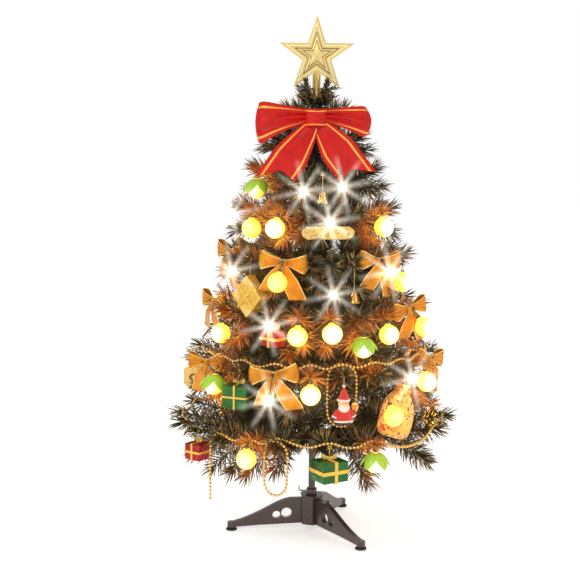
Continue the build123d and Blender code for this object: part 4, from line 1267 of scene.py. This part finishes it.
@dataclass(frozen=True)
class LampString:
    """The lamps: frosted globes, leafy cups on some, and the light that they give."""

    radius: float = 11.0
    neck: float = 3.3
    light_watts: float = 0.055
    led_watts: float = 0.03
    led_radius: float = 2.5
    led_light: Colour = (1.0, 0.80, 0.52)
    neck_heights: tuple[float, float, float] = (10.3, 11.8, 12.2)
    rim_from: float = 0.84
    rim_run: float = 0.80
    rim_warmth: float = 0.75
    warmths: tuple[float, ...] = (0.0, 0.05, 0.12, 0.25, 0.45)
    chances: tuple[float, ...] = (0.3, 0.25, 0.2, 0.15, 0.1)
    leaves: int = 5

    def seat(self, centre: np.ndarray, above: np.ndarray) -> Seat:
        """A globe's own axes, with up from its centre to a place over it."""
        up = unit(above - centre)
        side = unit(np.cross(up, (0.31, 0.95, 0.05)))
        return Seat(centre, side, up, np.cross(side, up))

    def build(self) -> None:
        """Builds the globes, the cups and their lights."""
        rng = np.random.default_rng(11)
        draft = Draft()
        leds = islands("led_bulbs")
        turns = [math.pi * step / 14 for step in range(1, 13)]
        low, high, top = self.neck_heights
        profile = [
            (0.0, -self.radius),
            *((self.radius * math.sin(turn), -self.radius * math.cos(turn)) for turn in turns),
            (self.neck, low), (self.neck, high), (self.neck - 0.5, top), (0.0, top),
        ]
        seen: set[int] = set()
        for globe in islands("lamp_globes"):
            centre = globe.centre
            bulb = nearest_to(centre, leds)
            seen.add(bulb)
            warmth = float(rng.choice(self.warmths, p=self.chances))
            draft.add_turned(self.seat(centre, leds[bulb].centre), profile, 24)
            away = (draft.points[-1] - centre) / (self.radius * MM)
            facing = np.clip(away @ unit(outward(centre) + (0.0, -0.5, 0.0)), -1, 1)
            rim = np.clip((self.rim_from - facing) / self.rim_run, 0, 1)
            values = draft.values.setdefault("warmth", [])
            values.append(np.clip(warmth + self.rim_warmth * rim, 0, 1))
            colour = (1.0, 0.62 - 0.25 * warmth, 0.16 - 0.1 * warmth)
            self.lamp(centre, self.radius + 0.5, self.light_watts, colour)
        globes_made = draft.piece("globes_frosted", GLOBE, "tree", ("lamp_globes",))
        globes_made.visible_shadow = False
        for index, led in enumerate(leds):
            if index not in seen:
                self.lamp(led.centre, self.led_radius, self.led_watts, self.led_light)
        self.cups()

    def lamp(self, centre: np.ndarray, radius: float, watts: float, colour: Colour) -> None:
        """Adds the light of one lamp."""
        data = bpy.data.lights.new("lamp_light", "POINT")
        data.energy, data.color, data.shadow_soft_size = watts, colour, radius * MM
        made = bpy.data.objects.new("lamp_light", data)
        made.location = centre
        made.visible_camera = False
        made.visible_glossy = False
        bpy.context.scene.collection.objects.link(made)

    def cups(self) -> None:
        """Builds the leafy cups: pointed leaves round each of some globes."""
        draft = Draft()
        globes = islands("lamp_globes")
        turn, across = chart(12, 7)
        polar = math.radians(17) + turn * math.radians(88)
        swell = np.sin(math.pi * np.clip(turn * 0.86 + 0.14, 0, 1)) ** 0.7
        spread = across * math.radians(34) * swell / np.maximum(np.sin(polar), 0.35)
        reach = self.radius + 0.7 + 5.5 * turn ** 3 + 0.5 * (1 - across ** 2)
        flat = reach * np.sin(polar)
        for cup in islands("lamp_cups"):
            globe = globes[nearest_to(cup.centre, globes)]
            seat = self.seat(globe.centre, cup.centre)
            for leaf in range(self.leaves):
                azimuth = 2 * math.pi * leaf / self.leaves + spread
                leaf_at = (flat * np.cos(azimuth), reach * np.cos(polar), flat * np.sin(azimuth))
                draft.add_grid(seat.world(np.stack(leaf_at, axis=-1)))
        draft.piece("leaf_cups", LIME, "tree", ("lamp_cups",), 0.5 * MM)


# ---- hanging figures --------------------------------------------------------------------------
@dataclass(frozen=True)
class GiftSack:
    """A stuffed sack tied under its ruffle, which hangs with its foot swung to the left."""

    width: float = 46.0
    height: float = 60.0
    depth: float = 19.0
    tilt: float = -20.0
    tie_down: float = 7.0
    around: int = 56
    squareness: float = 3.2
    # Each row: how far down, as a share of the height, and its half width and half depth.
    rows: tuple[tuple[float, float, float], ...] = (
        (0.0, 13.5, 7.0), (0.04, 12.2, 6.6), (0.085, 8.4, 6.6), (0.115, 7.2, 6.5),
        (0.145, 8.2, 6.8), (0.2, 13.2, 7.6), (0.28, 18.2, 8.6), (0.38, 21.6, 9.6),
        (0.52, 23.2, 10.4), (0.68, 23.6, 10.8), (0.82, 23.4, 10.4), (0.92, 22.4, 8.8),
        (0.97, 20.6, 6.0), (1.0, 17.5, 2.2),
    )

    def ring(self, share: float, wide: float, deep: float) -> np.ndarray:
        """One row of the sack: round and gathered at the tie, squarer and slumped below it."""
        turn = np.linspace(0, 2 * math.pi, self.around, endpoint=False)
        power = self.squareness
        corner = np.abs(np.cos(turn)) ** power + np.abs(np.sin(turn)) ** power
        shape = 1 + (1 / corner ** (1 / power) - 1) * min(1.0, share / 0.3)
        near_tie = math.exp(-(((share - 0.12) / 0.14) ** 2))
        gather = 1 + 0.085 * np.cos(14 * turn) * near_tie
        slump = 1 + 0.03 * np.cos(3 * turn + 7 * share)
        level = 0.9 * np.sin(5 * turn + 1) * (1 - share) * 0.6 - self.height * share
        swell = shape * gather * slump
        return np.stack((wide * np.cos(turn) * swell, level, deep * np.sin(turn) * swell), axis=-1)

    def build(self) -> None:
        """Builds the sack's shell, closed at its mouth and its foot."""
        tie = islands("sack_tie")[0]
        hung = Seat.facing(tie.centre, outward(tie.centre), self.tilt)
        seat = hung.moved(0.0, self.tie_down, 0.0)
        draft = Draft()
        poles = np.array([(0.0, -3.0, 0.0), (0.0, -self.height - 0.2, 0.0)])
        rings = np.stack([self.ring(*row) for row in self.rows])
        draft.add_closed(seat.world(rings), seat.world(poles))
        made = draft.piece("gift_sack_cloth", SACK_CLOTH, "tree", ("gift_sack",), 0.0, 1)


@dataclass(frozen=True)
class Gnome:
    """A little hanging gnome in a red coat and hat, with a pale beard and trims."""

    arm_lean: float = 28.0

    def body(self, seat: Seat, coat: Draft, trim: Draft, skin: Draft, boots: Draft) -> None:
        """Adds the hat, its trims, the head with its nose and eyes, the beard and the coat."""
        hat = [
            (0, -0.2), (1.0, -1), (2.2, -4), (3.6, -8), (5.4, -12), (6.9, -15), (6.6, -16),
            (0, -16),
        ]
        brim = [(0, -13.6), (6.2, -13.8), (7.6, -14.8), (7.7, -16.0), (6.6, -17.1), (0, -17.2)]
        head = [(0, -15), (4.8, -16), (6.1, -18.6), (6.2, -21), (5.0, -24), (0, -25.4)]
        nose = [(0, 1.1), (0.9, 0.6), (1.2, -0.2), (0.9, -0.9), (0, -1.2)]
        eye = [(0, 0.6), (0.45, 0.3), (0.5, 0), (0.4, -0.4), (0, -0.6)]
        beard = [
            (0, -19.6), (5.0, -20.2), (6.5, -22), (6.3, -25), (4.8, -29), (2.6, -32.4), (0, -34),
        ]
        robe = [
            (0, -23.6), (6.0, -24), (8.2, -27), (9.4, -31), (10.4, -36), (10.8, -38.6),
            (9.6, -39.4), (0, -39.4),
        ]
        hem = [(0, -36.9), (10.4, -37), (11.2, -38.0), (11.2, -39.2), (10.2, -40), (0, -40)]
        coat.add_turned(seat, hat, 20)
        trim.add_turned(seat, [(0, 1.6), (1.5, 1.2), (2.2, 0), (1.5, -1.6), (0, -2.0)], 12)
        trim.add_turned(seat, brim, 24, ripple=lambda share, turn: 1 + 0.04 * np.cos(11 * turn))
        skin.add_turned(seat, head, 20)
        skin.add_turned(seat.moved(0, -18.9, 6.3), nose, 10)
        for sign in (-1, 1):
            boots.add_turned(seat.moved(sign * 2.3, -18.2, 5.9), eye, 8)
        trim.add_turned(
            seat.moved(0, 0, 2.2), beard, 22, 0.62,
            ripple=lambda share, turn: 1 + 0.07 * np.cos(9 * turn + 6 * share),
        )
        coat.add_turned(seat, robe, 24, 0.62)
        trim.add_turned(
            seat, hem, 26, 0.63, ripple=lambda share, turn: 1 + 0.025 * np.cos(13 * turn),
        )

    def side(self, seat: Seat, sign: int, coat: Draft, trim: Draft, boots: Draft) -> None:
        """Adds a sleeve with its cuff and mitten, and a boot."""
        arm = math.radians(self.arm_lean * sign)
        right = seat.side * math.cos(arm) + seat.up * math.sin(arm)
        lift = seat.up * math.cos(arm) - seat.side * math.sin(arm)
        sleeve = Seat(seat.moved(sign * 8.6, -30.2, 1.2).origin, right, lift, seat.out)
        coat.add_turned(sleeve, [(0, 4.6), (2.2, 4.0), (2.9, 1), (3.2, -3.6), (0, -4.0)], 14, 0.9)
        cuff = [(0, -3.0), (3.3, -3.2), (3.7, -4.1), (3.2, -5.0), (0, -5.1)]
        trim.add_turned(sleeve, cuff, 14, 0.9)
        mitten = [(0, -4.6), (2.2, -5.0), (2.5, -6.4), (1.6, -7.6), (0, -8)]
        boots.add_turned(sleeve, mitten, 12, 0.8)
        boot = [(0, -38.8), (3.2, -39), (3.5, -41), (3.7, -43.6), (0, -44)]
        boots.add_turned(seat.moved(sign * 4.6, 0, 0.4), boot, 16, 1.25)

    def build(self) -> None:
        """Builds body, head, beard, trims, mittens, boots and a pouch."""
        head = islands("gnome_head")[0]
        top = np.array((head.centre[0], head.centre[1], head.high[2]))
        seat = Seat.facing(top, outward(head.centre))
        coat, trim, skin, boots, pouch = (Draft() for _ in range(5))
        self.body(seat, coat, trim, skin, boots)
        for sign in (-1, 1):
            self.side(seat, sign, coat, trim, boots)
        bag = [(0, 4.6), (3.2, 4.0), (4.4, 0), (3.4, -4.2), (0, -4.8)]
        pouch.add_turned(seat.moved(11.8, -22.2, 3.2), bag, 14, 0.8)
        coat.piece("gnome_coat_felt", COAT, "tree", ("gnome_body",), 0.0, 1)
        trim.piece("gnome_trim_fleece", TRIM, "tree", (), 0.0, 1)
        skin.piece("gnome_head_face", SKIN, "tree", ("gnome_head",), 0.0, 1)
        boots.piece("gnome_boots", BOOT, "tree", (), 0.0, 1)
        pouch.piece("gnome_pouch", SACK_CLOTH, "tree", (), 0.0, 1)


# ---- bead chains ------------------------------------------------------------------------------
@dataclass(frozen=True)
class Drape:
    """A bead chain over one tier, in millimetres: its radius, and its height over the wires."""

    root: float
    rise: float
    radius: float
    over: float
    hump_half: float = 2.1
    sag: float = 0.13

    def point(self, heading: float, radius: float = 0.0, below: float = 0.0) -> Spot:
        """A point of the chain, on its own radius when none is given."""
        reach, turn = radius or self.radius, math.radians(heading)
        height = self.root + self.radius * math.tan(math.radians(self.rise)) + self.over
        return reach * math.sin(turn), -reach * math.cos(turn), height - below

    def through(self, *places: Spot) -> list[Spot]:
        """Points off the tier's line, each from a heading, a radius and a drop."""
        return [self.point(*place) for place in places]

    def over_branches(self, headings: Sequence[float]) -> list[Spot]:
        """Points over each branch in turn, with a sag between each two."""
        points = []
        for heading, following in zip(headings, (*headings[1:], None)):
            points += [self.point(heading - self.hump_half), self.point(heading + self.hump_half)]
            if following is not None:
                gap = following - heading
                drop = 4 * self.sag * self.radius * math.radians(gap)
                dips = 1 if gap < 17 else 2 if gap < 30 else 3
                for share in [(dip + 1) / (dips + 1) for dip in range(dips)]:
                    below = drop * share * (1 - share)
                    points.append(self.point(heading + gap * share, below=below))
        return points


LOWER = Drape(114, 9, 152.0, 4.0)
UPPER = Drape(180, 13, 131.0, 12.6)
LOWER_ROUTE = [
    *LOWER.through(
        (-47.3, 153, 78), (-47.5, 153, 59), (-47.2, 153.4, 40), (-47.4, 153, 23), (-47.0, 152.4, 8),
    ),
    *LOWER.over_branches((-42, -27, -15)),
    *LOWER.through(
        (-10.0, 153.5, 7.8), (-9.8, 154.2, 21), (-10.0, 154, 36), (-10.2, 153.4, 51),
        (-13.1, 152, 59.5), (-17.3, 150.5, 59.5), (-20.3, 149, 51), (-20.5, 147, 36),
        (-20.7, 145.5, 21), (-20.4, 144.4, 6.6), (-17.3, 143, -1.3), (-13.0, 143.5, -1.3),
        (-7.5, 146, 3), (-1, 150.5, 6),
    ),
    *LOWER.over_branches((7, 26, 66, 90, 112, 135, 158, 180, 202, 225, 248, 270, 287)),
]
UPPER_ROUTE = [
    *UPPER.over_branches((-76, -62, -49, -36, -18, -1)),
    *UPPER.through(
        (6, 0, 5), (11.4, 0, 0), (17.0, 131.5, 0), (20.6, 132.5, 8.2), (20.9, 132.5, 24),
        (20.7, 132.2, 42), (20.7, 131.8, 59.2), (16.8, 130.5, 68), (11.3, 128.8, 68),
        (7.4, 127.4, 59.2), (7.1, 125.6, 43), (7.3, 123.8, 26), (7.6, 122.4, 9.4),
        (11.2, 121.4, 0.8), (16.8, 122, 0.8), (22.5, 126.5, 6),
    ),
    *UPPER.over_branches((31, 47, 63, 79, 100, 122, 145, 168, 191, 213, 235)),
]


@dataclass(frozen=True)
class BeadChain:
    """A thread with round beads along it."""

    name: str
    node: str
    route: Sequence[Spot]
    length: float
    bead: float = 3.6
    pitch: float = 4.3
    thread: float = 0.35

    def build(self) -> None:
        """Lays the thread along its smooth line and strings the beads on it."""
        curve = bpy.data.curves.new(self.name, "CURVE")
        curve.dimensions = "3D"
        spline = curve.splines.new("NURBS")
        spline.points.add(len(self.route) - 1)
        for point, place in zip(spline.points, self.route):
            point.co = (*(part * MM for part in place), 1.0)
        spline.order_u = 3
        spline.use_endpoint_u = True
        curve.resolution_u = 12
        thread = bpy.data.objects.new(self.name, curve)
        bpy.context.scene.collection.objects.link(thread)
        line_mesh = bpy.data.meshes.new_from_object(thread)
        line = np.array([tuple(vertex.co) for vertex in line_mesh.vertices])
        bpy.data.meshes.remove(line_mesh)
        curve.bevel_depth = self.thread * MM
        curve.bevel_resolution = 2
        curve.materials.append(BEAD.material())
        settle(thread, "tree")
        beads = self.beads(line)
        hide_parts(self.node)
        self.bead * MM

    def beads(self, line: np.ndarray) -> bpy.types.Object:
        """Strings the beads along the thread's line.

        Args:
            line: points along the thread, in order.

        Returns:
            The beads, as one piece.
        """
        steps = np.linalg.norm(np.diff(line, axis=0), axis=1)
        gone = np.concatenate(([0.0], np.cumsum(steps)))
        draft = Draft()
        half = self.bead / 2
        turns = np.linspace(0.5, math.pi - 0.5, 5)
        profile = [(half * math.sin(turn), -half * math.cos(turn)) for turn in turns]
        profile = [(0.0, -half), *profile, (0.0, half)]
        for place in np.arange(self.bead * MM / 2, gone[-1], self.pitch * MM):
            centre, ahead, behind = (
                np.array([np.interp(place + step * MM, gone, line[:, axis]) for axis in range(3)])
                for step in (0, 1, -1)
            )
            up = unit(ahead - behind)
            side = unit(np.cross(up, (0.13, 0.21, 0.97) if abs(up[2]) < 0.9 else (1.0, 0.0, 0.0)))
            draft.add_turned(Seat(centre, side, up, np.cross(side, up)), profile, 10)
        return draft.piece(f"{self.name}_beads", BEAD, "tree")


# ---- room and camera --------------------------------------------------------------------------
@dataclass(frozen=True)
class Studio:
    """A pale floor, soft lights and the camera."""

    camera_at: Spot = (0.0, -1.6, 0.52)
    pitch: float = -8.32
    roll: float = -0.7
    lens: float = 86.33
    shift: float = -0.0457
    world: Colour = (1.0, 1.0, 1.0)
    world_strength: float = 0.55
    # Each soft light: its place, its width in metres and its watts.
    lights: dict[str, tuple[Spot, float, float]] = field(default_factory=lambda: {
        "key": ((-0.9, -1.5, 1.5), 0.8, 16.0),
        "fill": ((1.3, -1.0, 0.9), 0.9, 4.0),
        "rim": ((0.2, 1.5, 1.4), 0.9, 7.0),
    })
    lights_aim: Spot = (0, 0, 0.28)
    floor_half: float = 6.0
    glows: dict[str, dict[str, float]] = field(default_factory=lambda: {
        "BLOOM": {"Threshold": 1.75, "Strength": 0.45, "Size": 0.18},
        "STREAKS": {
            "Threshold": 5.5, "Strength": 0.52, "Streaks": 8, "Streaks Angle": 0.2,
            "Iterations": 2, "Fade": 0.88,
        },
    })

    def build(self) -> None:
        """Builds the floor, world, lights and camera."""
        scene = bpy.context.scene
        scene.view_settings.view_transform = "Standard"
        world = bpy.data.worlds.new("studio")
        world.use_nodes = True
        nodes, links = world.node_tree.nodes, world.node_tree.links
        soft, seen = nodes["Background"], nodes.new("ShaderNodeBackground")
        for ground, strength in ((soft, self.world_strength), (seen, 1.0)):
            ground.inputs["Color"].default_value = (*self.world, 1.0)
            ground.inputs["Strength"].default_value = strength
        path, blend = nodes.new("ShaderNodeLightPath"), nodes.new("ShaderNodeMixShader")
        links.new(path.outputs["Is Camera Ray"], blend.inputs[0])
        links.new(soft.outputs[0], blend.inputs[1])
        links.new(seen.outputs[0], blend.inputs[2])
        links.new(blend.outputs[0], nodes["World Output"].inputs["Surface"])
        scene.world = world
        self.floor()
        self.lens_glow(scene)
        for name, (place, size, watts) in self.lights.items():
            self.soft_light(name, place, size, watts)
        data = bpy.data.cameras.new("camera")
        data.lens, data.sensor_width, data.shift_x = self.lens, 36.0, self.shift
        camera = bpy.data.objects.new("camera", data)
        camera.location = self.camera_at
        turn = (math.radians(90 + self.pitch), math.radians(self.roll), 0.0)
        camera.rotation_euler = Euler(turn, "XYZ")
        scene.collection.objects.link(camera)
        scene.camera = camera

    def lens_glow(self, scene: bpy.types.Scene) -> None:
        """The lens's own glow: a halo round the globes and star rays round the bare bulbs.

        Args:
            scene: the scene whose picture gets the glow.
        """
        scene.use_nodes = True
        tree = scene.node_tree
        tree.nodes.clear()
        picture = tree.nodes.new("CompositorNodeRLayers").outputs["Image"]
        for kind, settings in self.glows.items():
            glare = tree.nodes.new("CompositorNodeGlare")
            glare.glare_type = kind
            for name, value in settings.items():
                glare.inputs[name].default_value = value
            tree.links.new(picture, glare.inputs["Image"])
            picture = glare.outputs["Image"]
        tree.links.new(picture, tree.nodes.new("CompositorNodeComposite").inputs["Image"])

    def floor(self) -> None:
        """A wide pale floor with a faint mottle."""
        draft = Draft()
        edge = np.linspace(-self.floor_half, self.floor_half, 5)
        x, y = np.meshgrid(edge, edge, indexing="ij")
        draft.add_grid(np.stack((x, y, np.full_like(x, -0.0004)), axis=-1))
        mesh = bpy.data.meshes.new("floor")
        mesh.from_pydata(np.concatenate(draft.points).tolist(), [], draft.faces)
        graph = Graph("floor_pale")
        mottle = graph.mix(graph.noise(3.0), (0.93, 0.93, 0.92), (0.96, 0.96, 0.955))
        graph.surface(Base_Color=mottle, Roughness=0.9)
        graph.surface(Emission_Color=(1.0, 1.0, 1.0), Emission_Strength=0.50)
        mesh.materials.append(graph.material)
        floor = bpy.data.objects.new("floor", mesh)
        bpy.context.scene.collection.objects.link(floor)

    def soft_light(self, name: str, place: Spot, size: float, watts: float) -> None:
        """Adds a soft square light that looks at the tree."""
        data = bpy.data.lights.new(name, "AREA")
        data.energy, data.size = watts, size
        light = bpy.data.objects.new(name, data)
        light.location = place
        aim = Vector(self.lights_aim) - Vector(place)
        light.rotation_euler = aim.to_track_quat("-Z", "Y").to_euler()
        light.visible_camera = False
        bpy.context.scene.collection.objects.link(light)


@dataclass(frozen=True)
class Tree:
    """The whole tree."""

    reach: float = 26 * MM
    bow_room: float = 3.0 * MM
    bow_reach: float = 70 * MM
    stem_room: float = 8.5 * MM
    star_room: float = 4.0 * MM
    star_depth: float = 36 * MM
    outline_in: float = 0.9 * MM
    # Millimetres kept free round each of these nodes.
    rooms: dict[str, float] = field(default_factory=lambda: {
        "lamp_globes": 1.0, "gift_sack": 0.0, "gnome_head": 1.5, "gnome_body": 2.0,
        "scroll_plaque": 1.0, "heart_plaque": 11.0, "heart_string": 6.0, "gold_box": 0.5,
        "red_box": 1.0, "green_cube": 1.0, "red_gift": 4.0, "green_gift": 11.0,
        "green_gift_ribbon": 4.0, "bells": 1.0, "led_bulbs": 1.0,
    })
    # The low and high corners of the room round a gold bow's loops, and round its tails.
    bow_rooms: tuple[tuple[Spot, Spot], ...] = (
        ((-27, -9, -3), (27, 13, 26)), ((-21, -34, -3), (21, 0, 26)),
    )

    def dress(self) -> None:
        """Gives every CAD node that stays its finish."""
        for finish, nodes in NODE_FINISHES.items():
            for node in nodes:
                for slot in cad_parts[node].material_slots:
                    slot.material = finish.material()

    def dress_plaque(self) -> None:
        """Gives the heart plaque its finish, from the way that it faces."""
        plaque = islands("heart_plaque")[0]
        spread = plaque.points - plaque.points.mean(axis=0)
        face = np.linalg.svd(spread, full_matrices=False)[2][2]
        face = face if face[1] < 0 else -face
        level = float((plaque.points @ face).max()) - self.outline_in
        finish = HeartPrint(
            "heart_plaque_print", "plaque_gold", (0.90, 0.60, 0.16), (0.20, 0.05, 0.02),
            tuple(float(part) for part in face), level,
        )
        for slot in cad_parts["heart_plaque"].material_slots:
            slot.material = finish.material()

    def clearings(self) -> list[Clearing]:
        """The room that ornaments keep free of needles."""
        kept = [
            Clearing.round(island, room * MM, self.reach)
            for node, room in self.rooms.items() for island in islands(node)
        ]
        low, high = (np.array(corner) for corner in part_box("star_border"))
        room = np.array((self.stem_room, (high[2] - low[2]) / 2 + self.star_room, self.star_depth))
        kept.append(Clearing(Seat.facing((low + high) / 2, FRONT), -room, room))
        for node in ("red_bow_loops", "red_bow_knot", "red_bow_tails"):
            kept += [
                Clearing.round(island, self.bow_room, self.bow_reach, FRONT)
                for island in islands(node)
            ]
        for seat in GoldBows().seats():
            for low, high in self.bow_rooms:
                kept.append(Clearing(seat, np.array(low) * MM, np.array(high) * MM))
        return kept

    def build(self) -> None:
        """Builds every sub-assembly in order."""
        BeadChain("lower_thread", "bead_chain_lower", LOWER_ROUTE, length=1.147).build()
        BeadChain("upper_thread", "bead_chain_upper", UPPER_ROUTE, length=0.916).build()
        self.dress()
        self.dress_plaque()
        LampString().build()
        centres = np.array([globe.centre for globe in islands("lamp_globes")])
        NeedleTiers().build(self.clearings(), centres)
        RedBow().build()
        GoldBows().build()
        GiftBows().build()
        GiftSack().build()
        Gnome().build()


def main() -> None:
    """Builds the studio and the tree."""
    logging.basicConfig(level=logging.INFO, format="%(name)s: %(message)s")
    Studio().build()
    Tree().build()


if __name__ == "__main__":
    main()
